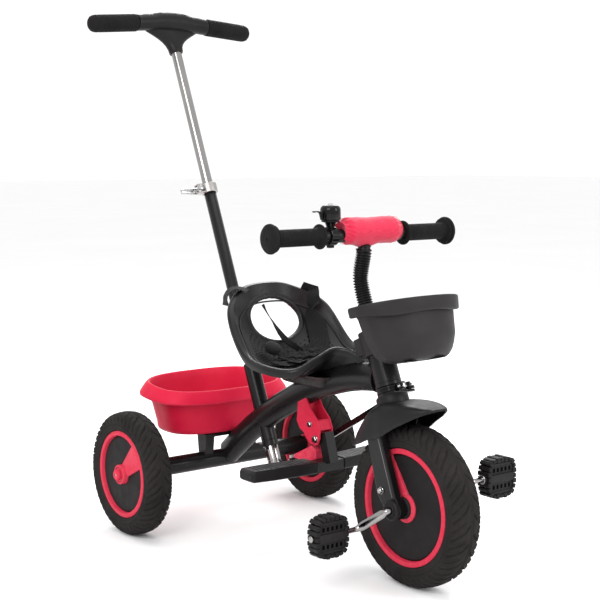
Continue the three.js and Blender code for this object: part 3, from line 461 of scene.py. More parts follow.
def tyre(name, node, body, centre, radius, half, bore, grooves):
    """Foam tyre: scalloped shoulders, swept curved grooves over the tread and a moulded side line."""
    sides = grooves * 24
    shoulder = radius - half * 0.62
    flat = half * 0.42

    def arc(t):
        """Profile from the bore (t = 0) over the tread (0.5) to the far bore (1): radius, offset."""
        u = abs(t - 0.5) * 2
        s = 1 if t < 0.5 else -1
        if u < TREAD_END:
            k = u / TREAD_END
            return radius - CROWN_DROP * k * k, s * flat * k
        if u < SHOULDER_END:
            a = (u - TREAD_END) / (SHOULDER_END - TREAD_END) * math.pi / 2
            r = shoulder + (radius - CROWN_DROP - shoulder) * math.cos(a)
            return r, s * (flat + (half - flat) * math.sin(a))
        k = (u - SHOULDER_END) / (1 - SHOULDER_END)
        return shoulder + (bore + 3 - shoulder) * k, s * (half - 0.6 * k)
    profile = [arc(i / TYRE_STEPS) for i in range(TYRE_STEPS + 1)]
    profile = [(bore, half - 4)] + profile + [(bore, 4 - half)]

    def depth(a, t):
        """Groove depth in mm at an angle and place across the profile."""
        u = (t - 0.5) * 2
        w = abs(u)
        turn = (a - 0.46 * w ** 1.25) * grooves / TAU + (0.5 if u > 0 else 0)
        long = abs(turn % 1.0 - 0.5)
        short = abs((turn + 0.5) % 1.0 - 0.5)
        cut = 2.5 * (1 - smooth(0.05, 0.11, long)) * smooth(0.05, 0.12, w) * (1 - smooth(0.56, 0.66, w))
        cut += 2.0 * (1 - smooth(0.04, 0.095, short)) * smooth(0.26, 0.34, w) * (1 - smooth(0.56, 0.66, w))
        return cut + 0.9 * (1 - smooth(0.012, 0.035, abs(w - 0.045)))

    def wave(r, z, a, t):
        """Cuts the grooves, the shoulder scallops, the side line and the bead at the rim."""
        u = abs(t - 0.5) * 2
        scallop = 0.8 * (0.5 + 0.5 * math.cos(a * grooves * 2))
        scallop *= smooth(0.3, 0.5, u) * (1 - smooth(0.6, 0.7, u))
        drop = depth(a, t) + scallop
        if u < SHOULDER_END:
            k = max(0.0, (u - TREAD_END) / (SHOULDER_END - TREAD_END)) * math.pi / 2
            return r - drop * math.cos(k), z - math.copysign(drop * math.sin(k), z)
        side = 0.8 * (1 - smooth(0.01, 0.03, abs(u - 0.78))) + 0.7 * smooth(0.9, 0.97, u)
        return r, z - math.copysign(drop * 0.9 + side, z)
    verts, faces = [], []
    for k, (r, z) in enumerate(profile):
        t = min(1.0, max(0.0, (k - 1) / TYRE_STEPS))
        for i in range(sides):
            a = TAU * i / sides
            rr, zz = wave(r, z, a, t) if 0 < k < len(profile) - 1 else (r, z)
            verts.append((rr * math.cos(a), rr * math.sin(a), zz))
    count = len(profile)
    for k in range(count):
        a, b = k * sides, ((k + 1) % count) * sides
        faces += [(a + i, a + (i + 1) % sides, b + (i + 1) % sides, b + i) for i in range(sides)]
    return piece(name, verts, faces, body, TYRE, "foam_tyre", (node,), along_y(centre), sharp=60)


def wheel(prefix, body, centre, s):
    """Red rim, hub and one tapered spoke, dark infill discs and a tyre, from a dict of sizes."""
    tyre(f"{prefix}_tyre_moulded", f"{prefix}_tyre", body, centre, s["radius"], s["half"], s["rim"] + 0.2,
         s["grooves"])
    at = along_y(centre)
    rim = Shape()
    inner, half = s["rim"] - 9, s["rim_half"]
    rim.turned([(inner, -half + 1.4), (inner + 1.4, -half), (s["rim"] - 2.5, -half),
                (s["rim"] - 0.6, 1.2 - half), (s["rim"] - 0.6, half - 1.2), (s["rim"] - 2.5, half),
                (inner + 1.4, half), (inner, half - 1.4)], 128, at)
    hub_r, hub = s["hub_r"], s["hub_half"]
    hub_shape = Shape() if s["dark_hub"] else rim
    hub_shape.turned([(5.5, -hub), (hub_r - 5, -hub), (hub_r - 5, -hub + 2.5), (hub_r - 3.5, -hub + 2.5),
                      (hub_r - 3.5, -hub), (hub_r - 1, -hub), (hub_r, 1 - hub), (hub_r, hub - 1),
                      (hub_r - 1, hub), (hub_r - 3.5, hub), (hub_r - 3.5, hub - 2.5), (hub_r - 5, hub - 2.5),
                      (hub_r - 5, hub), (5.5, hub)], 64, at)
    if s["dark_hub"]:
        hub_shape.make(f"{prefix}_wheel_hub", body, PEDAL, "black_plastic", sharp=45)
        for side in (-1, 1):
            h = s["disc_half"]
            rim.turned([(hub_r + 0.2, h - 1), (hub_r + 6.4, h - 1), (hub_r + 6.4, h + 1.6),
                        (hub_r + 4.6, h + 3.2), (hub_r + 0.2, h + 3.6)], 64, along_y(centre, side))
    reach = s["rim"] - 4
    for side in (-1, 1):
        low, high = s["disc_half"] - 1, s["disc_half"] + 4
        steps = 10
        rings = []
        for k in range(steps + 1):
            f = k / steps
            x = s["hub_r"] * 0.98 + (reach - s["hub_r"] * 0.98) * f
            w = s["root"] + (s["tip"] - s["root"]) * f
            crown = high - 0.8 * f
            rings.append([(x, -w, low), (x, -w, crown - 1), (x, -w + 1.2, crown), (x, w - 1.2, crown),
                          (x, w, crown - 1), (x, w, low)])
        if side < 0:
            rings = [[(x, -y, z) for x, y, z in ring] for ring in rings]
        rim.loft(rings, along_y(centre, side) @ Matrix.Rotation(-side * s["angle"], 4, "Z"))
    rim.make(f"{prefix}_wheel_red", body, RED_WHEEL, "red_plastic", (f"{prefix}_wheel_core",), sharp=45)
    disc = Shape()
    for side in (-1, 1):
        place = along_y(centre, side)
        h = s["disc_half"]
        top, low = s["rim"] - 9.2, hub_r + 0.2
        disc.turned([(low, h - 1.8), (low + 1.2, h - 0.4), (top * 0.55, h - 0.9), (top - 5, h - 0.5),
                     (top - 1.5, h - 1.2), (top, h - 2.6), (top, h - 5), (low, h - 5)], 128, place)
    disc.make(f"{prefix}_wheel_infill", body, INFILL, "grey_plastic", (f"{prefix}_wheel_disc",), sharp=50)


FRONT = {"radius": 125, "half": 26.5, "rim": 91.3, "rim_half": 24, "disc_half": 19, "hub_r": 16.8,
         "hub_half": 27, "dark_hub": True, "root": 17, "tip": 9, "angle": math.radians(118), "grooves": 26}
REAR = {"radius": 107.7, "half": 24, "rim": 76.1, "rim_half": 21.5, "disc_half": 17, "hub_r": 17,
        "hub_half": 25.5, "dark_hub": False, "root": 13, "tip": 24, "angle": math.radians(38), "grooves": 24}


def wheels():
    """The three wheels, and the red buttons on the ends of the rear axle."""
    wheel("front", "front_wheel", FRONT_AXLE, FRONT)
    for name, side in (("rear_right", -1), ("rear_left", 1)):
        centre = Vector((REAR_AXLE.x, side * REAR_TRACK_HALF, REAR_AXLE.z))
        wheel(name, f"{name}_wheel", centre, REAR)
        cap = Shape().turned([(5.4, 228.8), (9, 228.8), (10, 229.8), (10, 231), (8.6, 234), (7.6, 234.8),
                              (3.2, 234.8), (2.6, 233.4), (0, 233.4), (0, 233.0)], 40,
                             along_y(REAR_AXLE, side))
        cap.make(f"{name}_axle_button", "frame", RED_WHEEL, "red_plastic", (f"{name}_axle_cap",), sharp=40)
        stop = Shape().rod(3.0, 3.4, 4.7, 24, along_y((REAR_AXLE.x, side * 229.3, REAR_AXLE.z), side), 0.4)
        stop.make(f"{name}_axle_end", "frame", CHROME, "zinc")


# ---- Frame tubes ---------------------------------------------------------------------------------

MAIN = [(-212, 119), (-170, 152), (-129, 182), (-60, 224), (36, 272), (100, 294), (155, 307), (216, 314)]


def frame_tubes():
    """Bent oval spine, head tube with its cup, rear axle beam with end plugs, and the push bar socket."""
    path = even([(x, 0, z) for x, z in MAIN], 70)
    path = [p for p in path if p.x < 203]
    tube = Shape().sweep(path, lambda f, i: circle(17.9, 40, 22.9))
    tube.make("main_tube_bent", "frame", PAINT, "black_paint", ("main_tube",), sharp=60)
    weld_bead("head_weld", "frame", Vector((203, 0, 312)), (17.9, 22.9), 12)
    head = Shape().turned([(16.2, -8), (20.2, -8), (21, -7.2), (21, -2.5), (20.6, -2), (20.6, -1.4),
                           (21, -1), (21, 71.3), (20.2, 72), (16.2, 72)], 56, STEERING)
    head.make("head_tube_turned", "frame", PAINT, "black_paint", ("head_tube",))
    cups = Shape().tube(20.4, 16.2, 72.05, 74, 48, STEERING)
    cups.make("head_bearing_cup", "frame", GLOSS, "black_paint")
    beam = Shape().tube(16, 6.2, -172, 172, 48, along_y(REAR_AXLE), 1.2)
    beam.make("rear_axle_tube", "frame", PAINT, "black_paint", ("rear_axle_beam",))
    for side in (-1, 1):
        plug = Shape().tube(13.5, 6.2, 172.05, 176.6, 40, along_y(REAR_AXLE, side), 0.8)
        plug.make(f"rear_axle_plug_{'left' if side > 0 else 'right'}", "frame", DARK, "black_plastic")
    socket = Shape().turned([(11.4, -53), (13.2, -53), (14, -52.2), (14, -44), (13.3, -43.4), (13.3, -42.4),
                             (14, -41.8), (14, 97), (13.2, 98), (11.4, 98)], 48, PUSHING)
    socket.make("push_socket_turned", "frame", PAINT, "black_paint", ("push_bar_socket",))


def weld_bead(name, body, centre, size, beads):
    """A rippled ring of weld round the oval main tube, standing just proud of it."""
    count = 96
    rings = []
    for i in range(count):
        a = TAU * i / count
        r = 1.5 + 0.35 * math.cos(a * beads * 3)
        mid = Vector((0, math.cos(a) * size[0], math.sin(a) * size[1]))
        out = Vector((0, math.cos(a), math.sin(a)))
        rings.append([centre + mid + out * (r * math.cos(b)) + Vector((r * 1.3 * math.sin(b), 0, 0))
                      for b in (TAU * j / 8 for j in range(8))])
    Shape().loft(rings, None, loop=True).make(name, body, PAINT, "black_paint", sharp=80)


# ---- Steering ------------------------------------------------------------------------------------

LEG_END = 16  # radius of a fork leg round the axle
GUARD = [(178, 33, 212, 203), (195, 40, 236, 209), (212, 46, 256, 215), (228, 49.5, 272, 222),
         (245, 49.5, 281, 228), (262, 49.5, 284, 234), (285, 45, 286, 249), (310, 37, 286, 263),
         (330, 26, 284, 274), (341, 14, 282, 279)]


def guard_ring(x, inset, steps=40):
    """Arch of the guard at a station, eased between the stations of GUARD: x, half width, top, lower edge."""
    k = max(i for i in range(len(GUARD) - 1) if GUARD[i][0] <= x + 1e-6)
    f = (x - GUARD[k][0]) / (GUARD[k + 1][0] - GUARD[k][0])
    pts = [GUARD[max(0, min(len(GUARD) - 1, k + j))] for j in (-1, 0, 1, 2)]

    def mid(c):
        a, b, d, e = (p[c] for p in pts)
        return 0.5 * (2 * b + (d - a) * f + (2 * a - 5 * b + 4 * d - e) * f * f
                      + (3 * b - a - 3 * d + e) * f ** 3)
    half, top, low = (mid(c) - inset * (1 if c < 3 else 0) for c in (1, 2, 3))
    ring = []
    for i in range(steps + 1):
        a = math.pi * i / steps
        ring.append((x, half * spow(math.cos(a), 0.35), low + (top - low) * math.sin(a) ** 0.6))
    return ring


def mudguard():
    """Guard skin between an outer and an inner ring at each station, a collar, and a bead at the front."""
    xs = [178 + (341 - 178) * i / 48 for i in range(49)]
    outer = [guard_ring(x, 0) for x in xs]
    inner = [guard_ring(x, 2.6) for x in xs]
    rings = []
    for o, n in zip(outer, inner):
        rings.append(list(o) + list(reversed(n)))
    shell = Shape().loft(rings, None, (True, True))
    lip = guard_ring(340.9, 0.0)
    shell.turned([(14.2, -43), (24.6, -43), (26, -41), (25.4, -24), (23.5, -21.6), (14.2, -21.6)], 56,
                 STEERING)
    shell.make("mudguard_moulded", "steer", DARK, "black_plastic", ("front_mudguard",), sharp=50)
    rib = Shape().sweep([Vector(p) for p in even(lip, 60)], lambda f, i: circle(1.3, 10), side=(1, 0, 0))
    rib.make("mudguard_front_bead", "steer", DARK, "black_plastic", sharp=80)


def leg_outline():
    """Side outline of a fork leg, round at the axle."""
    top = [(226, 250), (252, 250), (257, 232.5), (291, 145)]
    turns = [math.radians(15 - 12 * i) for i in range(13)]
    end = [(FRONT_AXLE.x + LEG_END * math.cos(a), FRONT_AXLE.z + LEG_END * math.sin(a)) for a in turns]
    return top + end + [(251, 141), (225, 226)]


def fork():
    """Pressed legs with a painted highlight near the front edge (a thin grey strip on the black paint that
    stands in for light on the bend), bolts, bosses and hub covers.
    """
    legs = Shape()
    edge = Shape()
    for side in (-1, 1):
        legs.prism(leg_outline(), *sorted((31 * side, 44 * side)))
        legs.prism([(226, 240), (254, 240), (258, 256), (232, 260)], *sorted((31 * side, 35.6 * side)))
        # painted highlight: a thin grey strip on each leg's outer face near the front edge, where the bend
        # would catch the light
        highlight_strip = [(251.2, 228.9), (252.6, 229.4), (285.9, 143.6), (284.5, 143.1)]
        edge.prism(highlight_strip, *sorted((43.4 * side, 44.3 * side)))
    crown = Shape()
    crown.box(-18, 18, -36, 36, -56, -46.4, STEERING)
    legs.add(crown.verts, crown.faces)
    obj = legs.make("fork_pressed", "steer", PAINT, "black_paint", ("front_fork",), sharp=30)
    bevelled(obj, 1.6, 3, 30)
    bevelled(edge.make("fork_edge_highlight_lines", "steer", FORK_EDGE_HIGHLIGHT, "black_paint", sharp=30), 0.25, 2, 30)
    stems = Shape().turned([(11.2, -55.6), (13, -55.6), (13.7, -55), (13.7, 83.4), (13.1, 84), (11.2, 84)],
                           48, STEERING)
    stems.make("steerer_turned", "steer", ZINC, "zinc", ("steerer_tube",))
    for name, side in HANDS:
        at = along_y((259.8, 44.2 * side, 149.8), side)
        bolt = Shape().rod(5.8, 0, 1.0, 32, at).nut(4.9, 1.0, 4.2, at).rod(2.4, 4.0, 4.9, 24, at)
        bolt.make(f"fork_bolt_{name}", "steer", CHROME, "zinc", sharp=30)
        cap = Shape().turned([(5.6, 46.3), (15, 46.3), (16, 47.2), (16, 48.6), (14.8, 50.2), (12.6, 50.9),
                              (12.2, 50.4), (9.6, 50.4), (9.2, 50.9), (7, 50.9), (5.6, 50.2)], 56,
                             along_y(FRONT_AXLE, side))
        cap.make(f"hub_cover_{name}", "steer", DARK, "black_plastic", (f"hub_cap_{name}",))
        boss = Shape().tube(15.4, 6, 44.05, 46.2, 48, along_y(FRONT_AXLE, side))
        boss.make(f"hub_boss_{name}", "steer", PEDAL, "black_paint")


def steering_details():
    """Clamp collar under the fork's top with its wing screw, and the steering linkage."""
    collar = Shape().turned([(14, -17.4), (20.4, -17.4), (21.4, -16.6), (21.4, -14), (20.7, -13.4),
                             (20.7, -12.4), (21.4, -11.8), (21.4, -9.3), (20.4, -8.5), (14, -8.5)], 64,
                            STEERING)
    collar.make("lock_collar_turned", "steer", GLOSS, "black_paint", ("lock_collar",))
    at = STEERING @ Matrix.Translation((0, 0, -13)) @ Matrix.Rotation(math.pi / 2, 4, "Y")
    thread = [(2.6 if i % 2 else 2.2, 22.8 + i * 0.45) for i in range(15)]
    head = [(4.6, 29.8), (5.6, 30.5), (5.8, 33), (5.0, 35.4), (3.6, 36.2), (0, 36.2)]
    screw = Shape().turned([(0, 22), (2.3, 22), (2.6, 22.4)] + thread + head, 32, at)
    screw.make("lock_screw_stem", "lock_screw", ZINC, "zinc", ("lock_screw",))
    wings = Shape()
    for side in (-1, 1):
        path = even([(0, 3.5 * side, 32), (0, 6.2 * side, 34.6), (0, 7.6 * side, 37.8),
                     (0, 7.3 * side, 40.4)], 12)
        wings.sweep(path, lambda f, i: [(u * (1.0 if f < 0.8 else 0.8), v * (1.15 if f < 0.9 else 0.8))
                                        for u, v in circle(3.1, 16, 1.4)], at, side=(1, 0, 0))
    wings.make("lock_screw_wings", "lock_screw", GLOSS, "zinc", sharp=70)
    for node in ("steering_arm", "link_rod", "link_arm"):
        keep(node, GLOSS if node != "link_arm" else CHROME, 0.5)


def keep(node, material, width=0.5, angle=35):
    """A CAD node that stays in view: smooth faces, small bevels and a procedural material."""
    obj = frame["nodes"][node]
    obj.data.materials.clear()
    obj.data.materials.append(material)
    obj.data.polygons.foreach_set("use_smooth", [True] * len(obj.data.polygons))
    obj.data.set_sharp_from_angle(angle=math.radians(angle))
    if width:
        bevelled(obj, width, 2, 40)


# ---- Cranks and pedals ---------------------------------------------------------------------------

CRANK = math.radians(217)
UPRIGHT = Matrix(((0, 0, 1, 0), (1, 0, 0, 0), (0, 1, 0, 0), (0, 0, 0, 1)))


def pedal_centre(side):
    a = CRANK + (math.pi if side > 0 else 0)
    return Vector((FRONT_AXLE.x + 56 * math.cos(a), side * 133, FRONT_AXLE.z + 56 * math.sin(a)))


def pedals():
    """Block pedals: rounded slab, chunky tread lugs round the edge, near-black patches on the faces painted
    as the shade in their holes, and a spindle boss.
    """
    for name, side in (("pedal_right", -1), ("pedal_left", 1)):
        at = Matrix.Translation(pedal_centre(side)) @ UPRIGHT
        body = Shape()
        outline = [(26.6 * spow(math.cos(TAU * i / 96), 0.55), 27.6 * spow(math.sin(TAU * i / 96), 0.55))
                   for i in range(96)]
        body.loft([[(x * k, y * k, z) for x, y in outline]
                   for z, k in ((-9.4, 0.96), (-8.4, 1.0), (8.4, 1.0), (9.4, 0.96))], at)
        edge = even([(28.6 * spow(math.cos(TAU * i / 96), 0.55), 29.6 * spow(math.sin(TAU * i / 96), 0.55), 0)
                     for i in range(96)], 24, True)
        for i, (x, y, _) in enumerate(edge):
            ahead = edge[(i + 1) % 24] - edge[i - 1]
            turn = math.atan2(-ahead.x, ahead.y)
            place = at @ Matrix.Translation((x, y, 0)) @ Matrix.Rotation(turn, 4, "Z")
            deep = 3.0 if i % 2 else 2.0
            rings = []
            for z, k in ((-12.2, 0.74), (-11.2, 1.0), (-2.6, 1.0), (0, 0.82), (2.6, 1.0), (11.2, 1.0),
                         (12.2, 0.74)):
                rings.append([(deep * k * sx, 3.7 * k * sy, z) for sx, sy in
                              ((-1.6, -1), (0.75, -1), (1, -0.7), (1, 0.7), (0.75, 1), (-1.6, 1))])
            body.loft(rings, place)
        for face in (-1, 1):
            body.box(-25.5, 25.5, -6.4, 6.4, *sorted((9.0 * face, 11.6 * face)), matrix=at)
            for sy in (-1, 1):
                body.box(-23.5, 23.5, *sorted((20.6 * sy, 23.6 * sy)), *sorted((9.0 * face, 10.6 * face)),
                         matrix=at)
        obj = body.make(f"{name}_block", name, PEDAL, "black_plastic", (name,), sharp=30)
        bevelled(obj, 0.7, 2, 30)
        # painted shade: thin near-black boxes on each face stand in for the shaded holes
        pits = Shape()
        for face in (-1, 1):
            for row in (-1, 1):
                for k in range(5):
                    x, y = -17 + 8.5 * k, 13.4 * row
                    pits.box(x - 2.1, x + 2.1, y - 3.2, y + 3.2, *sorted((9.3 * face, 9.62 * face)),
                             matrix=at)
        pits.make(f"{name}_hole_shade", name, PAINTED_SHADE_PIT, "black_plastic", sharp=30)
        inner = Shape().turned([(4.6, 25.6), (7.4, 25.6), (8.2, 26.4), (8.2, 31.4), (7.4, 32.2),
                                (4.6, 32.2)], 32, along_y(pedal_centre(side), -side))
        inner.make(f"{name}_boss", name, PEDAL, "black_plastic")


def cranks():
    """One bent bar: round axle, flattened arms and round spindles, all chrome."""
    shape = Shape()
    for side in (-1, 1):
        a = CRANK + (math.pi if side > 0 else 0)
        out = Vector((math.cos(a), 0, math.sin(a)))
        y = Vector((0, side, 0))
        c = Vector(FRONT_AXLE)
        bends = [(0, 0), (30, 0), (50, 0), (56.5, 3), (61, 12), (73, 46), (77.5, 54), (84, 56), (120, 56),
                 (167.5, 56)]
        path = even([c + y * away + out * reach for away, reach in bends], 90)

        def section(_, i, path=path):
            away = abs(path[i].y)
            flat = smooth(56, 60, away) * (1 - smooth(72, 78, away))
            r = 4.9 - 0.9 * smooth(76, 84, away)
            return [(u * (1 + 0.42 * flat), v * (1 - 0.34 * flat)) for u, v in circle(r, 24)]
        axis = out.cross(y).normalized()
        shape.sweep(path, section, side=tuple(axis), caps=(False, True))
        end = along_y(c + out * 56, side)
        shape.turned([(0, 165.2), (4.4, 165.2), (5.0, 165.8), (5.0, 167.2), (4.2, 167.9), (0, 167.9)], 32,
                     end)
    shape.make("crank_bent_bar", "front_wheel", CHROME, "chrome", ("crank_axle",), sharp=50)
    for name, side in HANDS:
        c = pedal_centre(side)
        at = along_y((c.x, 0, c.z), side) @ Matrix.Translation((0, 0, 64))
        washer = Shape().tube(7.2, 4.3, 34.4, 35.9, 32, at)
        washer.make(f"crank_washer_{name}", "front_wheel", ZINC, "chrome")


# ---- Handlebar -----------------------------------------------------------------------------------

STEM = [(191.5, 384.5), (185, 400), (170.3, 423.3), (157.5, 464.6), (165, 506), (162, 524)]
SLEEVE = [(179.5, 407.5), (170.3, 423.3), (157.5, 464.6), (165, 506), (164.2, 513)]


def handlebar():
    """Straight bar on a bent stem, a ribbed sleeve over the stem, and flanged grips."""
    bar = Shape().tube(11, 9, -178, 178, 48, along_y(BAR))
    stem = even([(x, 0, z) for x, z in STEM], 40)
    bar.sweep(stem, lambda f, i: circle(9.2, 28))
    bar.make("handlebar_tube", "steer", PAINT, "black_paint", ("handlebar",))
    path = even([(x, 0, z) for x, z in SLEEVE], 320)
    ridges = 27

    def ribbed(f, _):
        k = math.cos(TAU * f * ridges)
        return circle(11.25 + 1.25 * spow(k, 0.5), 32)
    sleeve = Shape().sweep(path, ribbed)
    sleeve.make("stem_sleeve_ribbed", "steer", SLEEVE_MAT, "black_plastic", ("stem_sleeve",), sharp=75)
    for name, side in HANDS:
        profile = [(11.2, 84), (17.6, 84), (19.5, 85), (19.5, 86.2), (18.2, 87.2), (16.8, 87.4),
                   (16.4, 88.2), (15.2, 88.8), (13.9, 90.6), (13.5, 92)]
        z = 93
        while z < 168:
            profile += [(13.45, z), (13.45, z + 2.2), (13.15, z + 2.7), (13.15, z + 3.2)]
            z += 3.7
        profile += [(13.5, 169.5), (15, 171.6), (19.4, 172.6), (21, 173.6), (21, 174.8), (19.6, 175.6),
                    (19.8, 176.2), (22.2, 176.8), (23, 178.4), (22.8, 180.8), (21, 182.8), (17, 184.4),
                    (10, 185.5), (2.4, 185.8), (1.9, 184.6), (0, 184.6)]
        grip = Shape().turned([(0, 178.8), (11.2, 178.8)] + profile, 56, along_y(BAR, side))
        grip.make(f"handlebar_grip_{name}_moulded", "steer", GRIP, "rubber_foam",
                  (f"handlebar_grip_{name}",), sharp=40)


def bell():
    """Bell on its clamp, with a thumb lever."""
    x, z = BAR.x, BAR.z
    up = Matrix.Translation((x, -64, z))
    clamp = Shape().turned([(11.2, -70.8), (14.2, -70.8), (15, -70), (15, -58), (14.2, -57.2),
                            (11.2, -57.2)], 48, along_y((x, 0, z)))
    neck = ((12, 0.92), (15, 1), (22, 1.5))
    clamp.loft([[(a * k, b * k, v) for a, b in circle(6.4, 24)] for v, k in neck], up)
    clamp.turned([(0, 21.6), (12.6, 21.6), (14.2, 22.4), (14.2, 25.2), (13.4, 26), (0, 26)], 48, up)
    clamp.make("bell_bracket", "steer", GLOSS, "black_plastic", ("bell_base",))
    ears = Shape().box(-3.6, 3.6, -69, -59, -18, -13.5, Matrix.Translation((x, 0, z)))
    bevelled(ears.make("bell_clamp_ears", "steer", GLOSS, "black_plastic"), 0.8)
    dome = Shape().turned([(14.7, 25.8), (15.6, 25.6), (16, 26.2), (16, 40.2), (15.7, 42.6), (14.8, 44.8),
                           (13.2, 46.6), (10.6, 48.0), (7.4, 48.9), (4.2, 49.2), (3.8, 49.9), (0, 50.0)], 72,
                          up)
    dome.make("bell_dome_turned", "steer", GLOSS, "black_paint", ("bell_dome",))
    ring = Shape().turned([(14.3, 27.5), (16.0, 27.5), (16.0, 28.7), (14.3, 28.7)], 72, up)
    ring.make("bell_seam", "steer", CHROME_DIM, "black_paint")
    path = even([(x, -81.6, z + 26), (x, -82.6, z + 31), (x, -84.5, z + 36.4), (x, -90, z + 38.8),
                 (x, -96.4, z + 38.4)], 30)
    lever = Shape().sweep(path, lambda f, i: [(u * (0.75 + 0.5 * f), v) for u, v in circle(4.0, 20, 1.2)],
                          side=(1, 0, 0))
    lever.make("bell_thumb_lever", "bell_lever", DARK, "black_plastic", ("bell_lever",), sharp=60)


def bar_pad():
    """Foam roll in a gathered cloth cover: puckered ends, soft creases and a tab down to the stem."""
    start, end = -45, 73
    middle = Vector((BAR.x, 0, BAR.z + 6.6))
    rows, cols = 150, 112
    rng = random.Random(4)
    creases = [(rng.uniform(0, TAU), rng.uniform(0.1, 0.9), rng.uniform(0.05, 0.10), rng.uniform(0.3, 0.6))
               for _ in range(6)]
    rings = []
    for i in range(rows + 1):
        f = i / rows
        y = start + (end - start) * f
        e = min(f, 1 - f)
        base = 15.2 + 6.3 * smooth(0.0, 0.13, e) - 0.8 * smooth(0.25, 0.5, e)
        gather = (1 - smooth(0.015, 0.2, e))
        ring = []
        for j in range(cols):
            a = TAU * j / cols
            r = base
            pucker = math.cos(a * 15 + 1.7 * math.sin(a * 3 + f * 4) + 40 * e)
            r += gather * 0.95 * pucker * smooth(0.0, 0.03, e)
            for ca, cf, w, d in creases:
                da = abs((a - ca - 0.5 * math.sin((f - cf) * 5) + math.pi) % TAU - math.pi)
                r -= d * 0.9 * math.exp(-(da / 0.10) ** 2) * math.exp(-((f - cf) / (w * 1.9)) ** 2)
            p = Vector((math.cos(a) * 0.35, f * 4.2, math.sin(a) * 0.35))
            r += 0.4 * noise.noise(p * 2.2)
            down = -math.sin(a)
            tab = smooth(0.5, 0.98, down) * max(0.0, 1 - abs(y - 4) / 26) ** 1.2
            x = middle.x + r * math.cos(a) * (1 - 0.15 * tab)
            z = middle.z + r * math.sin(a) - 8.5 * tab
            ring.append(Vector((x, y, z)))
        rings.append(ring)
    tuck_a = [Vector((middle.x + (p.x - middle.x) * 0.86, start + 2.6, middle.z + (p.z - middle.z) * 0.86))
              for p in rings[0]]
    tuck_b = [Vector((middle.x + (p.x - middle.x) * 0.86, end - 2.6, middle.z + (p.z - middle.z) * 0.86))
              for p in rings[-1]]
    cover = Shape().loft([tuck_a] + rings + [tuck_b])
    obj = cover.make("bar_pad_cover", "steer", CLOTH, "red_fabric", ("bar_pad",), sharp=80)
    for k, (y, r) in enumerate(((start + 6.5, 19.6), (end - 6.5, 19.6))):
        seam = []
        for j in range(160):
            a = TAU * j / 160
            rr = r + 0.5 * math.cos(a * 15 + 1.7 * math.sin(a * 3)) + 0.3
            x, z = middle.x + rr * math.cos(a), middle.z + rr * math.sin(a)
            seam.append(Vector((x, y + 0.5 * math.sin(a * 15), z)))
        stitches(f"bar_pad_hem_{k}", "steer", seam, RED_THREAD, "red_fabric", 0.42, 2.2, True)


def stitches(name, body, path, material, slot, radius, pitch, closed=False):
    """Short thread bars along a path, each dipping at its ends."""
    shape = Shape()
    run = 0.0
    points = list(path) + ([path[0]] if closed else [])
    total = [0.0]
    for a, b in zip(points, points[1:]):
        total.append(total[-1] + (b - a).length)
    k = 0

    def at(s):
        nonlocal k
        if s < total[k]:
            k = 0
        while k < len(points) - 2 and total[k + 1] < s:
            k += 1
        return points[k].lerp(points[k + 1], (s - total[k]) / max(1e-9, total[k + 1] - total[k]))
    while run + pitch * 0.7 < total[-1]:
        a, b = at(run), at(run + pitch * 0.68)
        d = (b - a).normalized()
        side = d.orthogonal().normalized()
        up = d.cross(side)
        rings = [[a.lerp(b, f) + (side * math.cos(TAU * j / 6) + up * math.sin(TAU * j / 6)) * radius * w
                  for j in range(6)] for f, w in ((0, 0.45), (0.2, 1), (0.8, 1), (1, 0.45))]
        shape.loft(rings)
        run += pitch
    return shape.make(name, body, material, slot, sharp=80)


# ---- Front basket --------------------------------------------------------------------------------

def basket_ring(back, front, half, s, count):
    """One D-shaped ring at height s on the carrier's axis: square at the back, round at the front."""
    middle = back + 26
    ring = []
    for i in range(count):
        a = TAU * (i + 0.5) / count
        c, sn = math.cos(a), math.sin(a)
        reach = front - middle if c > 0 else middle - back
        x = middle + reach * spow(c, 1.0 if c > 0 else 0.3)
        ring.append(Vector((x, half * spow(sn, 0.92 if c > 0 else 0.62), s)))
    return ring


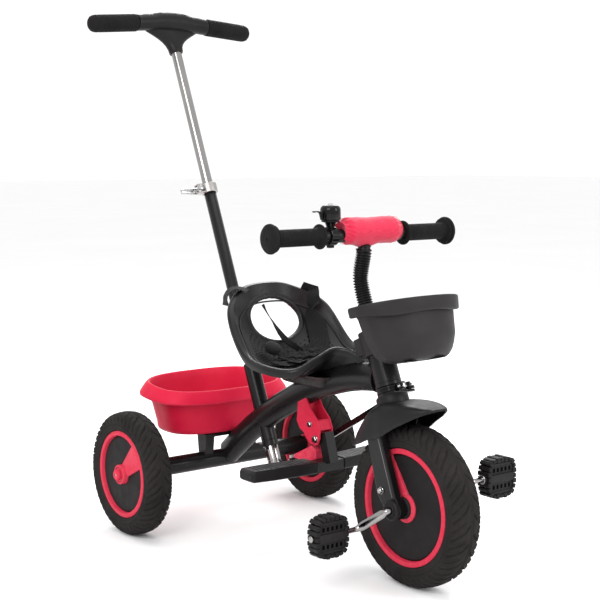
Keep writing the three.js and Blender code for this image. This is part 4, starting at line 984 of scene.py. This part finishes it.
def basket():
    """Moulded D-shaped basket: a deep rim band whose lower edge drops towards the front, and a soft base."""
    b = 38
    count = 192

    def rows(*sizes):
        return [basket_ring(b + back, b + front, half, s, count) for back, front, half, s in sizes]

    def waved(ring, share):
        """The band's lower edge: shallow at the back corners, deeper across the front."""
        out = []
        for i, p in enumerate(ring):
            a = TAU * (i + 0.5) / count
            dip = 4.6 - 9.0 * smooth(-0.55, 0.9, math.cos(a)) + 1.1 * math.cos(5 * a)
            out.append(Vector((p.x, p.y, p.z + dip * share)))
        return out
    outer = rows((33, 42, 28, 21.7), (29, 48, 40, 22.1), (23.5, 54, 50, 23.6), (19, 59, 58, 26.2),
                 (16.2, 63.4, 64.6, 30.6), (14, 67, 70, 36), (11.9, 71.6, 75.2, 45.5), (10, 76, 80, 58))
    low, high = outer[-1], rows((6, 80, 85, 95))[0]
    outer += [[p.lerp(q, k / 8) for p, q in zip(low, high)] for k in range(1, 9)]
    edge = rows((5.2, 81.6, 87, 97), (1.6, 87.2, 94, 96.2), (0.5, 89.2, 95.8, 96.9), (0.1, 90.3, 96.4, 98.8))
    band = [waved(ring, share) for ring, share in zip(edge, (1, 1, 1, 0.9))]
    band += rows((0, 92.8, 97, 110.8), (0.2, 92.6, 96.8, 112.8), (1.2, 91.6, 95.9, 114.1),
                 (2.6, 90, 94.5, 114.4), (3.8, 88.4, 93, 113.6), (5, 86.6, 91, 111))
    inner = rows((8.5, 78, 82.5, 97), (10.4, 76, 80.2, 78), (12.5, 73.5, 77.5, 58.5), (14.2, 69.6, 73.2, 47),
                 (16.5, 64.5, 67.5, 37.5), (18.6, 60.8, 62.2, 32), (21.5, 56.5, 55.5, 28.6),
                 (30, 46, 38, 24.8))
    shell = Shape().loft(outer + band + inner, CARRIER)
    shell.make("basket_moulded", "steer", PLASTIC, "black_plastic", ("front_basket",), sharp=52)
    hook = Shape()
    hook.turned([(21.8, 44.4), (26, 44.4), (27, 45.4), (27, 83), (26, 84), (14.2, 84), (14.2, 74.4),
                 (21.8, 74.4)], 64, STEERING)
    hook.box(12, 43.6, -23.6, 23.6, 50.5, 83.5, STEERING)
    hook.box(-37.6, -20, -15.6, 15.6, 52.4, 79.6, STEERING)
    obj = hook.make("basket_carrier", "steer", PLASTIC, "black_plastic", ("basket_bracket",), sharp=35)
    bevelled(obj, 1.6, 3, 40)
    for k, y in enumerate((-13, 0, 13)):
        rib = Shape().box(-38, -33.6, y - 1.4, y + 1.4, 55, 77, STEERING)
        bevelled(rib.make(f"basket_carrier_rib_{k}", "steer", PLASTIC, "black_plastic"), 0.8, 2, 40)


# ---- Seat ----------------------------------------------------------------------------------------

PAN = Vector((15, 0, 305))
SEAT_BEND = math.radians(64)
RIM_RIGHT = [(-95, 0, 437), (-91, -49, 430), (-56, -97, 399), (0, -107, 336), (58, -110, 322),
             (104, -91, 321), (115, -55, 339), (119, -26, 351), (139, -9.5, 347)]
NOSE = (158, 0, 332)
RIM_POINTS = RIM_RIGHT + [NOSE] + [(x, -y, z) for x, y, z in reversed(RIM_RIGHT[1:])]
RIM_COUNT = 240
RIM = even(RIM_POINTS, RIM_COUNT, True)


def bowl(p, t, out=0.0, down=0.0):
    """Point of the seat's bowl on the way from its lowest point (t = 0) to the rim point p (t = 1)."""
    across = math.sin(t * SEAT_BEND) / math.sin(SEAT_BEND)
    up = (1 - math.cos(t * SEAT_BEND)) / (1 - math.cos(SEAT_BEND))
    away = Vector((p.x - PAN.x, p.y, 0)).normalized()
    point = Vector((PAN.x + (p.x - PAN.x) * across, p.y * across, PAN.z + (p.z - PAN.z) * up))
    return point + away * out - Vector((0, 0, down))


def rim_at(f):
    """Rim point at a share f round the seat, from the middle of the back over the rider's right."""
    f = (f % 1.0) * RIM_COUNT
    k = int(f)
    return RIM[k % RIM_COUNT].lerp(RIM[(k + 1) % RIM_COUNT], f - k)


def on_bowl(f, t, lift=0.0):
    """Point of the bowl's inner surface, lifted off it along the normal."""
    p = bowl(rim_at(f), t)
    n = (bowl(rim_at(f), t + 0.02) - p).cross(bowl(rim_at(f + 0.01), t) - p).normalized()
    if n.z + (PAN.x - p.x) * n.x * 0.01 < 0:
        n = -n
    return p + n * lift


def in_hole(p, grow=0.0):
    """Whether a point lies in the backrest's hole, with the hole grown by so much."""
    return p.x < -12 and (p.y / (HOLE_WIDE + grow)) ** 2 + ((p.z - HOLE_MIDDLE) / (HOLE_TALL + grow)) ** 2 < 1


def seat():
    """Bowl with a rolled double rim, an oval hole with a raised lip, and a dimpled sitting surface whose
    dimples are coloured near black as painted shade.
    """
    rim = RIM
    fine = [i / 26 for i in range(2, 27)]
    step = lambda t: 1.1 * smooth(0.80, 0.84, t) - 2.2 * smooth(0.89, 0.935, t)
    inner = [[bowl(p, t, 0, step(t)) for p in rim] for t in fine]
    lip = [(2.0, -1.6), (4.5, -2.2), (7.6, -1.8), (9.6, -0.2), (10.7, 2.6), (10.9, 5.6), (10.6, 9.2),
           (10.1, 11.8), (9.2, 12.2), (8.4, 11.4)]
    edge = [[bowl(p, 1, out, down) for p in rim] for out, down in lip]
    under = [0.97, 0.9, 0.8, 0.7, 0.6, 0.5, 0.4, 0.3, 0.2]
    outer = [[bowl(p, t, 4.5 * t, 4 + 12 * (1 - t)) for p in rim] for t in under]
    rings = inner + edge + outer
    shape = Shape().loft(rings)
    obj = shape.make("seat_moulded", "frame", SEAT_SKIN, "black_plastic", ("seat_shell",), sharp=50)
    wide, tall = HOLE_WIDE - HOLE_TRIM, HOLE_TALL - HOLE_TRIM
    cutter = Shape().loft([[Vector((x, y, HOLE_MIDDLE + z)) for y, z in circle(wide, 96, tall)]
                           for x in (-150, -12)])
    boolean(obj, cutter)
    ring = []
    for i in range(200):
        a = TAU * i / 200
        y, z = wide * math.cos(a), HOLE_MIDDLE + tall * math.sin(a)
        ring.append(on_surface(y, z))
    lipped = Shape().loft([[c + o for o in offsets] for c, offsets in hole_lip(ring)], None, loop=True)
    lipped.make("seat_hole_lip", "frame", SEAT_SKIN, "black_plastic", sharp=70)
    foot = []
    for z, back, front, half in ((278, -36, 88, 20), (282, -42, 94, 23), (288, -45, 98, 27),
                                 (294, -50, 102, 33), (300, -58, 106, 42)):
        middle, reach = (back + front) / 2, (front - back) / 2
        foot.append([Vector((middle + reach * spow(math.cos(TAU * i / 96), 0.6),
                             half * spow(math.sin(TAU * i / 96), 0.6), z)) for i in range(96)])
    Shape().loft(foot).make("seat_foot", "frame", SEAT_SKIN, "black_plastic", sharp=60)
    rim_lines()
    dimples()


def on_surface(y, z):
    """Point of the backrest's inner surface at a given y and z, searched along the rim and up it."""
    best, low = None, 1e9
    for i in range(-60, 61):
        p = RIM[i % RIM_COUNT]
        for k in range(8, 27):
            q = bowl(p, k / 26)
            d = (q.y - y) ** 2 + (q.z - z) ** 2
            if q.x < 0 and d < low:
                best, low = (i, k / 26), d
    f, t = best[0] / RIM_COUNT, best[1]
    for step in (0.004, 0.0015, 0.0006):
        for _ in range(12):
            options = [(f + a * step, min(1.0, t + b * step * 6)) for a in (-1, 0, 1) for b in (-1, 0, 1)]
            cost = lambda o: (bowl(rim_at(o[0]), o[1]).y - y) ** 2 + (bowl(rim_at(o[0]), o[1]).z - z) ** 2
            f2, t2 = min(options, key=cost)
            if (f2, t2) == (f, t):
                break
            f, t = f2, t2
    return bowl(rim_at(f), t)


def hole_lip(ring):
    """A rounded bead round the hole, from just inside the shell to just proud of it."""
    out = []
    n = len(ring)
    for i, p in enumerate(ring):
        a = ring[(i + 1) % n] - ring[i - 1]
        along = a.normalized()
        radial = Vector((0, p.y, p.z - HOLE_MIDDLE)).normalized()
        normal = along.cross(radial).normalized()
        if normal.x < 0:
            normal = -normal
        radial = normal.cross(along).normalized()
        if radial.dot(Vector((0, p.y, p.z - HOLE_MIDDLE))) < 0:
            radial = -radial
        section = []
        for u, v in ((-0.6, -7.6), (-1.4, -4), (-1.6, 0), (-0.8, 1.7), (0.9, 2.3), (3.4, 2.1), (6.2, 1.1),
                     (8.4, -0.3), (8.2, -2), (4.5, -5.5)):
            section.append(radial * u + normal * v)
        out.append((p, section))
    return out


def boolean(obj, cutter):
    """Cuts the cutter's shape out of an object and keeps the result as its mesh."""
    tool = bpy.data.meshes.new("cut")
    tool.from_pydata([tuple(Vector(v) * MM) for v in cutter.verts], [], cutter.faces)
    bm = bmesh.new()
    bm.from_mesh(tool)
    bmesh.ops.recalc_face_normals(bm, faces=bm.faces)
    bm.to_mesh(tool)
    bm.free()
    other = bpy.data.objects.new("cut", tool)
    bpy.context.scene.collection.objects.link(other)
    mod = obj.modifiers.new("cut", "BOOLEAN")
    mod.operation = "DIFFERENCE"
    mod.solver = "EXACT"
    mod.object = other
    bpy.context.view_layer.update()
    graph = bpy.context.evaluated_depsgraph_get()
    done = bpy.data.meshes.new_from_object(obj.evaluated_get(graph))
    obj.modifiers.remove(mod)
    old = obj.data
    obj.data = done
    bpy.data.meshes.remove(old)
    bpy.data.objects.remove(other)
    bpy.data.meshes.remove(tool)
    done.polygons.foreach_set("use_smooth", [True] * len(done.polygons))
    done.set_sharp_from_angle(angle=math.radians(50))


def rim_lines():
    """A fine raised line that runs round the seat inside its rim."""
    path = [on_bowl(i / RIM_COUNT, 0.865, 0.5) for i in range(RIM_COUNT)]
    rings = []
    n = len(path)
    for i, p in enumerate(path):
        along = (path[(i + 1) % n] - path[i - 1]).normalized()
        up = on_bowl(i / RIM_COUNT, 0.865, 1.5) - p
        side = along.cross(up).normalized()
        rings.append([p + side * (1.5 * math.cos(TAU * j / 8)) + up * (0.9 * math.sin(TAU * j / 8))
                      for j in range(8)])
    Shape().loft(rings, None, loop=True).make("seat_rim_line", "frame", SEAT_SKIN, "black_plastic", sharp=80)


def dimples():
    """Rows of small round dimples pressed into the sitting surface, coloured near black as painted shade in
    their hollows.
    """
    shape = Shape()
    rng = random.Random(9)
    for row in range(11):
        t = 0.16 + 0.052 * row
        count = int(12 + row * 7.5)
        for k in range(count):
            f = (k + 0.5 * (row % 2)) / count
            p = on_bowl(f, t, 0.16)
            if in_hole(p, 9) or p.z > 372 or t > 0.70 or p.x > 92:
                continue
            n = (on_bowl(f, t, 1.2) - p).normalized()
            u = n.orthogonal().normalized()
            v = n.cross(u)
            r = 1.35 + rng.uniform(-0.05, 0.05)
            rim = [p + (u * math.cos(TAU * j / 8) + v * math.sin(TAU * j / 8)) * r for j in range(8)]
            top = [q + n * 0.35 - (q - p) * 0.3 for q in rim]
            low = [q - n * 0.8 for q in rim]
            shape.loft([low, rim, top])
    # painted shade: the dimples take the near-black colour of shade
    shape.make("seat_dimples", "frame", PAINTED_SHADE_PIT, "black_plastic", sharp=60)


# ---- Harness -------------------------------------------------------------------------------------

def ribbon(name, node, points, width, thick=1.6, twist=None, ripple=0.0, seed=1):
    """A webbing strap along a path of (point, normal) with rounded edges and ripples."""
    path = even([p for p, _ in points], 70)
    normals = even([n for _, n in points], 70)
    rings = []
    for i, p in enumerate(path):
        ahead = (path[min(i + 1, 69)] - path[max(i - 1, 0)]).normalized()
        n = normals[i].normalized()
        side = ahead.cross(n).normalized()
        n = side.cross(ahead).normalized()
        if twist:
            turn = Matrix.Rotation(twist(i / 69), 3, ahead)
            side, n = turn @ side, turn @ n
        ring = []
        for j in range(14):
            u = -1 + 2 * j / 13
            lift = ripple * noise.noise(Vector((i * 0.13, u * 0.9, seed)))
            ring.append(p + side * (u * width / 2) + n * (lift + thick / 2 * (1 - 0.75 * abs(u) ** 6)))
        for j in range(13, -1, -1):
            u = -1 + 2 * j / 13
            lift = ripple * noise.noise(Vector((i * 0.13, u * 0.9, seed)))
            ring.append(p + side * (u * width / 2) + n * (lift - thick / 2 * (1 - 0.75 * abs(u) ** 6)))
        rings.append(ring)
    shape = Shape().loft(rings)
    obj = shape.make(name, "frame", WEB, "webbing", (node,) if node else (), sharp=75)


def harness():
    """Shoulder strap over the far rim, a twisted strap, the lap belt, a heap of folds, a tail and a clip."""
    run = lambda spots: [(on_bowl(f, t, h), on_bowl(f, t, h + 4) - on_bowl(f, t, h)) for f, t, h in spots]
    over = run([(0.868, 0.62, 4.0), (0.882, 0.74, 4.4), (0.893, 0.86, 4.6), (0.900, 0.95, 5.2)])
    rim = rim_at(0.903)
    out = Vector((rim.x - PAN.x, rim.y, 0)).normalized()
    over.append((bowl(rim, 1, 5, -4.6), Vector((0, 0, 4))))
    over.append((bowl(rim, 1, 11.2, -0.4), out * 4))
    over.append((bowl(rim, 1, 12.4, 8), out * 4))
    start = run([(0.826, 0.34, 5.2), (0.838, 0.42, 5.0), (0.852, 0.52, 4.4)])
    ribbon("harness_shoulder_left", "harness_strap_left", start + over, 35, ripple=1.6, seed=3)
    twisted = [(Vector((-71, -26, 404)), Vector((0, 1, 0.4))), (Vector((-65, -22, 391)), Vector((0, 1, 0.4))),
               (Vector((-58, -14, 374)), Vector((0, 1, 0.6))), (Vector((-49, -5, 355)), Vector((0, 1, 0.4))),
               (Vector((-38, 4, 340)), Vector((0, 0.6, 1))), (Vector((-16, 18, 326)), Vector((0, 0.2, 1)))]
    ribbon("harness_shoulder_right", "harness_strap_right", twisted, 11, 1.5, ripple=0.6, seed=5,
           twist=lambda f: 2.3 * f)
    rng = random.Random(12)
    lap = run([(0.74, 0.5, 5), (0.745, 0.34, 7), (0.76, 0.16, 8.5), (0.25, 0.05, 10), (0.25, 0.2, 8),
               (0.245, 0.34, 6), (0.25, 0.5, 5)])
    ribbon("harness_lap_belt", "harness_belt", lap, 24, ripple=3.0, seed=8)
    for k in range(5):
        f0 = 0.80 + 0.028 * k
        spots = [(f0, 0.40 + rng.uniform(-0.03, 0.03), 7 + 2.2 * k % 5),
                 (f0 + 0.03, 0.30, 11 + rng.uniform(-2, 3)),
                 (f0 + 0.05, 0.22, 10 + rng.uniform(-2, 3)),
                 (0.03 + 0.02 * k, 0.22, 9 + rng.uniform(-1, 3)),
                 (0.06 + 0.02 * k, 0.34, 7)]
        ribbon(f"harness_fold_{k}", None, run(spots), 13 + rng.uniform(-3, 6), 1.5, ripple=4.0, seed=20 + k)
    tail = [(Vector((-80, -52, 427)), Vector((0, -0.3, 1))),
            (Vector((-88, -60, 432.5)), Vector((-0.2, -0.3, 1))),
            (Vector((-98, -71, 431)), Vector((-0.3, -0.7, 0.7))),
            (Vector((-105, -79, 420)), Vector((-0.3, -1, 0.2))),
            (Vector((-105, -80, 403)), Vector((-0.2, -1, 0)))]
    ribbon("harness_tail", None, tail, 26, ripple=1.2, seed=31)
    at = Matrix.Translation(on_bowl(0.12, 0.42, 7) + Vector((0, 0, 2))) @ Matrix.Rotation(0.55, 4, "Y")
    pad = Shape().turned([(0, -1.6), (10, -1.6), (13.2, 0.2), (14.4, 3.6), (14.2, 7.2), (12.4, 10),
                          (8.4, 11.8), (4, 12.4), (0, 12.5)], 64, at)
    obj = pad.make("harness_buckle_cover", "frame", WEB_PAD, "black_plastic", ("harness_buckle",), sharp=70)
    clip = Shape()
    c = on_bowl(0.30, 0.16, 9)
    place = Matrix.Translation(c + Vector((-6, 2, 2))) @ Matrix.Rotation(0.5, 4, "Z")
    clip.box(-13, 13, -10, 10, -2.2, 2.4, place)
    clip.box(-9, 9, -6, 6, 2.2, 4.2, place)
    bevelled(clip.make("harness_clip", "frame", GLOSS, "black_plastic", sharp=35), 1.2, 3, 35)
    for sy in (-1, 1):
        slot_at = place @ Matrix.Translation((0, 12.5 * sy, 0))
        bar = Shape().box(-12, 12, -3.5, 3.5, -1.4, 1.4, slot_at)
        bevelled(bar.make(f"harness_clip_bar_{'b' if sy > 0 else 'a'}", "frame", GLOSS, "black_plastic",
                          sharp=35), 0.8, 2, 35)


# ---- Rear bucket ---------------------------------------------------------------------------------

BUCKET = Vector((-262, 0, 0))


def bucket():
    """Deep tub with a wide turned-down rim, round corners and a step under the rim."""
    count = 200

    def oval(a, b, z, lift=0.0):
        ring = []
        slope = -0.1 * min(1, max(0, (z - 166) / 70))
        for i in range(count):
            t = TAU * (i + 0.5) / count
            px, py = a * spow(math.cos(t), 0.72), b * spow(math.sin(t), 0.72)
            ring.append(Vector((BUCKET.x + px, py, z + slope * px + lift)))
        return ring
    sizes = [(50, 88, 158), (57, 97, 158.3), (61.4, 103, 159.6), (64.2, 107.2, 162.4), (65.6, 109.4, 167),
             (66.2, 110.4, 175)]
    sizes += [(66.2 + (73.2 - 66.2) * k / 8, 110.4 + (126 - 110.4) * k / 8, 175 + (230 - 175) * k / 8)
              for k in range(1, 9)]
    sizes += [(74.5, 128, 228.6), (80.8, 139.0, 224.6), (82.6, 141.8, 223.6), (83.6, 142.8, 224.2),
              (84, 143, 226), (83.6, 142.2, 228.4), (81.6, 139.2, 233.0), (78.4, 134.6, 239.4),
              (75.2, 130.0, 245.2), (73.9, 128.2, 246.6), (72.6, 126.4, 246.9), (71.4, 124.4, 246.0),
              (70.3, 122.6, 243.6)]
    sizes += [(70 - 6.1 * k / 6, 122 - 14.4 * k / 6, 242.6 - 68.6 * k / 6) for k in range(1, 7)]
    sizes += [(62.6, 105.2, 168.4), (59.4, 99.6, 164.4), (54, 92.6, 162.1), (47, 84, 161.2)]
    shell = Shape().loft([oval(*s) for s in sizes])
    shell.make("bucket_moulded", "frame", RED, "red_plastic", ("rear_bucket",), sharp=55)
    for k, (a, b) in enumerate(((52, 88), (36, 66), (20, 44))):
        ring = oval(a, b, 161.3)
        rings = []
        for i, p in enumerate(ring):
            out = (p - Vector((BUCKET.x, 0, p.z))).normalized()
            rings.append([p + out * (1.3 * math.cos(TAU * j / 8))
                          + Vector((0, 0, 0.9 * math.sin(TAU * j / 8))) for j in range(8)])
        Shape().loft(rings, None, loop=True).make(f"bucket_floor_rib_{k}", "frame", RED, "red_plastic",
                                                  sharp=80)
    keep("bucket_bracket", DARK, 1.0)
    for side in (-1, 1):
        for k, dx in enumerate((-6.5, 6.5)):
            at = Matrix.Translation((REAR_AXLE.x + dx - 2, side * 30, 161.2))
            screw = Shape().turned([(0, 0), (3.6, 0), (3.4, 1.1), (2.2, 1.9), (0.9, 2.1), (0, 1.5)], 28, at)
            screw.make(f"bucket_screw_{'left' if side > 0 else 'right'}_{k}", "frame", ZINC, "red_plastic")


# ---- Footrest ------------------------------------------------------------------------------------

CHEEK = [(12, 246), (34, 258), (45, 240), (64, 223), (71, 208), (71, 192), (66, 182), (58, 179), (46, 181),
         (36, 187), (29, 196), (17, 202), (9, 214)]


def footrest():
    """Pressed bracket under the spine with its bolts, the folding arm and the two foot plates."""
    keep("footrest_arm", PAINT, 1.0)
    keep("footrest_brace", RED, 1.0)
    bracket = Shape()
    for side in (-1, 1):
        bracket.prism(CHEEK, *sorted((11.6 * side, 14.4 * side)))
        bracket.prism([(22, 236), (34, 228), (58, 218), (60, 213), (36, 221), (21, 229)],
                      *sorted((13.6 * side, 14.8 * side)))
    bracket.prism([(58, 222), (63, 222), (70, 206), (66, 204)], -12, 12)
    bracket.prism([(13, 240), (28, 250), (30, 212), (19, 207)], -11.8, 11.8)
    obj = bracket.make("footrest_bracket_pressed", "frame", RED, "red_plastic", ("footrest_bracket",),
                       sharp=30)
    bevelled(obj, 0.9, 2, 35)
    for side, name in ((1, "left"), (-1, "right")):
        at = along_y(FOOTREST_PIVOT, side)
        bolt = Shape().rod(6.6, 14.8, 15.8, 36, at).nut(5.8, 15.8, 18.9, at)
        nodes = ("footrest_pivot_bolt",) if side > 0 else ()
        bolt.make(f"footrest_bolt_{name}", "frame", CHROME, "zinc", nodes, sharp=30)
        at = along_y(FOOTREST_RIVET, side)
        rivet = Shape().rod(5.4, 14.6, 15.2, 32, at).nut(4.6, 15.2, 18, at)
        rivet.make(f"footrest_rivet_{name}", "frame", CHROME, "zinc")
        pad(side, name)
    pin = Shape().rod(3.5, -14.7, 14.7, 24, along_y(FOOTREST_PIVOT))
    pin.make("footrest_pin", "frame", ZINC, "zinc")


def pad(side, name):
    """Foot plate: swept-back slab with rounded edges, a ribbed top and an inset end cap line."""
    stations = [(28, 42, 86, 138, 158), (60, 40, 84, 137.5, 158.5), (110, 33, 78, 137, 158),
                (144, 30, 71, 137, 157), (150, 35, 66, 140, 154)]

    def size(y):
        for p, q in zip(stations, stations[1:]):
            if y <= q[0] + 1e-6:
                f = (y - p[0]) / (q[0] - p[0])
                return [p[k] + (q[k] - p[k]) * f for k in range(1, 5)]
        return stations[-1][1:]
    ys = [28.2, 28.6, 29.4] + [30 + k * 1.25 for k in range(95)] + [149.2, 149.8]
    rings = []
    for y in ys:
        back, front, low, top = size(min(y, 149.9))
        end = min(1.0, (y - 27.6) / 1.4) * min(1.0, (150.6 - y) / 3.0) ** 0.5
        groove = 0.9 * (1 - smooth(0.3, 1.1, abs((y - 34) % 7.5 - 3.75))) if 34 < y < 142 else 0.0
        ring = []
        for i in range(56):
            a = TAU * (i + 0.5) / 56
            u, v = spow(math.cos(a), 0.34), spow(math.sin(a), 0.34)
            x = (back + front) / 2 + (front - back) / 2 * u * (0.965 + 0.035 * end)
            z = (low + top) / 2 + (top - low) / 2 * v * (0.93 + 0.07 * end)
            if v > 0.97 and abs(u) < 0.86:
                z -= groove
            ring.append(Vector((x, y * side, z)))
        rings.append(ring)
    Shape().loft(rings).make(f"footrest_plate_{name}", "footrest", DARK, "black_plastic",
                             (f"footrest_pad_{name}",), sharp=45)


# ---- Push bar ------------------------------------------------------------------------------------

def push_bar():
    """Lower and upper push tubes, the toothed clutch sleeve, and the clamp with its lever."""
    lower = Shape().turned([(9.9, -87), (10.4, -87), (11, -86.4), (11, 433.2), (10.4, 434), (9.9, 434)], 56,
                           PUSHING)
    lower.make("push_tube_lower_drawn", "push_lower", PAINT, "black_paint", ("push_tube_lower",))
    upper = Shape().turned([(8.1, 254), (9.1, 254), (9.5, 254.5), (9.5, 721.5), (9.1, 722), (8.1, 722)], 56,
                           PUSHING)
    upper.make("push_tube_upper_drawn", "push_upper", CHROME, "chrome", ("push_tube_upper",))

    def teeth(r, z, a):
        """The clutch sleeve's upper edge is cut in square teeth."""
        if z > -60:
            return r, z - 5.5 * (1 if math.cos(a * 5) > 0 else 0)
        return r, z
    sleeve = Shape().turned([(11.3, -87.5), (12.1, -87.5), (12.6, -86.8), (12.6, -80.2), (12.1, -79.6),
                             (12.1, -78.8), (12.6, -78.2), (12.6, -54.4), (12.4, -53.6), (11.3, -53.6)], 160,
                            PUSHING, teeth)
    sleeve.make("clutch_sleeve_cut", "push_lower", CHROME, "chrome", ("clutch_sleeve",), sharp=35)
    collar = Shape().turned([(11.25, 422), (14.2, 422), (15, 423), (15, 439), (14.2, 440), (11.25, 440)], 56,
                            PUSHING)
    for s0, s1 in ((422.4, 425.2), (436.8, 439.6)):
        collar.box(-7, 7, -26.6, -12.6, s0, s1, PUSHING)
    obj = collar.make("clamp_collar_moulded", "push_lower", CLAMP, "black_plastic", ("clamp_collar",),
                      sharp=35)
    bevelled(obj, 0.8, 2, 40)
    lever = Shape()
    at = PUSHING @ Matrix.Translation((0, -22.5, 431)) @ Matrix.Rotation(math.pi / 2, 4, "Y")
    lever.rod(2.5, -11.8, 11.8, 24, at).rod(4.9, 7.4, 11.9, 32, at).rod(4.9, -11.9, -7.4, 32, at)
    path = even([(-10.2, -19, 431), (-10.4, -27, 431), (-10.3, -37, 431), (-9.9, -47, 431),
                 (-10.4, -54, 431)], 24)
    lever.sweep(path, lambda f, i: [(u * (1 - 0.25 * f), v * (1 - 0.2 * f)) for u, v in circle(6.4, 20, 2.4)],
                PUSHING, side=(0, 0, 1))
    lever.make("clamp_lever_cast", "clamp_lever", ZINC, "zinc", ("clamp_lever",), sharp=50)


def handle():
    """Moulded T: a drooping cross bar whose middle swells down over the chrome tube."""
    shape = Shape()
    rings = []
    stations = [(-75, 15, 15, 902), (-50, 15.4, 15.6, 904), (-22, 16, 17.5, 907), (0, 16, 17.9, 907.2),
                (22, 16, 17.5, 907), (50, 15.4, 15.6, 904), (75, 15, 15, 902)]
    for y, rx, rz, z in even4(stations, 60):
        rings.append([Vector((HANDLE_X + a, y, z + b)) for a, b in circle(rx - 0.1, 48, rz - 0.1)])
    shape.loft(rings)
    neck = [(704, 12.4, 12.4), (705.4, 13, 13), (714, 13, 14.4), (722, 13, 18.6), (729, 12.8, 25),
            (735, 12.6, 33), (741, 12, 43), (748, 10.8, 56)]
    shape.loft([[Vector((a, b, s)) for a, b in circle(ra, 56, rb)] for s, ra, rb in neck], PUSHING)
    shape.make("t_handle_moulded", "push_upper", DARK, "black_plastic", ("t_handle",), sharp=50)
    for name, side in HANDS:
        droop = math.atan2(7, 90)
        turn = Matrix.Rotation(-droop * side, 4, "X")
        at = Matrix.Translation((HANDLE_X, 70 * side, 902)) @ turn @ along_y((0, 0, 0), side)
        profile = [(0, 3), (13, 3), (13, 6.8), (14.4, 6.8), (15.6, 7.6), (15.9, 9)]
        z = 12
        while z < 86:
            profile += [(15.95, z), (15.95, z + 2.4), (15.65, z + 2.9), (15.65, z + 3.4)]
            z += 3.9
        profile += [(15.9, 90), (15.3, 95), (13.6, 99.6), (10.4, 102.6), (6, 104.1), (0, 104.4)]
        grip = Shape().turned(profile, 56, at)
        grip.make(f"push_grip_{name}_foam", "push_upper", GRIP, "rubber_foam", (f"push_grip_{name}",),
                  sharp=40)


def even4(rows, count):
    """Rows of four numbers, eased between stations along the first one."""
    out = []
    for i in range(count):
        f = i / (count - 1) * (len(rows) - 1)
        k = min(int(f), len(rows) - 2)
        t = f - k
        a, b = rows[k], rows[k + 1]
        ease = (t, *[t * t * (3 - 2 * t)] * 3)
        out.append([p + (q - p) * e for p, q, e in zip(a, b, ease)])
    return out


# ---- Camera, floor and light ---------------------------------------------------------------------

def camera():
    """The photo's view: from the front right, a little above the handlebar."""
    data = bpy.data.cameras.new("camera")
    data.lens = 77.46
    data.sensor_width = 36
    obj = bpy.data.objects.new("camera", data)
    bpy.context.scene.collection.objects.link(obj)
    eye, target = Vector((1.7109, -1.3128, 0.6569)), Vector((0, 0, 0.41616))
    turn = (target - eye).to_track_quat("-Z", "Y").to_matrix().to_4x4()
    obj.matrix_world = Matrix.Translation(eye) @ turn @ Matrix.Rotation(math.radians(-0.07), 4, "Z")
    bpy.context.scene.camera = obj


def area(name, place, target, size, power):
    data = bpy.data.lights.new(name, "AREA")
    data.shape = "RECTANGLE"
    data.size, data.size_y = size
    data.energy = power
    obj = bpy.data.objects.new(name, data)
    bpy.context.scene.collection.objects.link(obj)
    place, target = Vector(place), Vector(target)
    turn = (target - place).to_track_quat("-Z", "Y").to_matrix().to_4x4()
    obj.matrix_world = Matrix.Translation(place) @ turn


def studio():
    """Pale floor, white surroundings and four soft lights."""
    size = 30
    mesh = bpy.data.meshes.new("floor")
    mesh.from_pydata([(-size, -size, 0), (size, -size, 0), (size, size, 0), (-size, size, 0)], [],
                     [(0, 1, 2, 3)])
    floor = bpy.data.objects.new("floor", mesh)
    bpy.context.scene.collection.objects.link(floor)
    n = Nodes("pale_floor")
    tone = n.mix(n.spread(n.noise(1.2, 2), 0, 1), (0.88, 0.88, 0.88), (0.90, 0.90, 0.90))
    mesh.materials.append(n.out(color=tone, rough=0.7, normal=n.bump(n.noise(60, 2), 0.03, 0.002),
                                specular=0.2))
    world = bpy.data.worlds.new("world")
    world.use_nodes = True
    world.node_tree.nodes["Background"].inputs["Color"].default_value = (1, 1, 1, 1)
    world.node_tree.nodes["Background"].inputs["Strength"].default_value = 1.08
    bpy.context.scene.world = world
    bpy.context.scene.view_settings.view_transform = "Standard"
    area("key", (1.3, -2.4, 2.1), (0, 0, 0.35), (1.5, 1.5), 54)
    area("fill", (2.6, 1.3, 1.5), (0, 0, 0.35), (1.0, 1.6), 34)
    area("back", (-1.9, 1.6, 2.2), (0, 0, 0.45), (1.6, 1.0), 44)
    area("top", (0, 0, 3.0), (0, 0, 0), (2.2, 2.2), 30)


camera()
studio()
wheels()
frame_tubes()
mudguard()
fork()
steering_details()
cranks()
pedals()
handlebar()
bell()
bar_pad()
basket()
seat()
harness()
bucket()
footrest()
push_bar()
handle()
keep("rear_axle_rod", ZINC, 0.4)
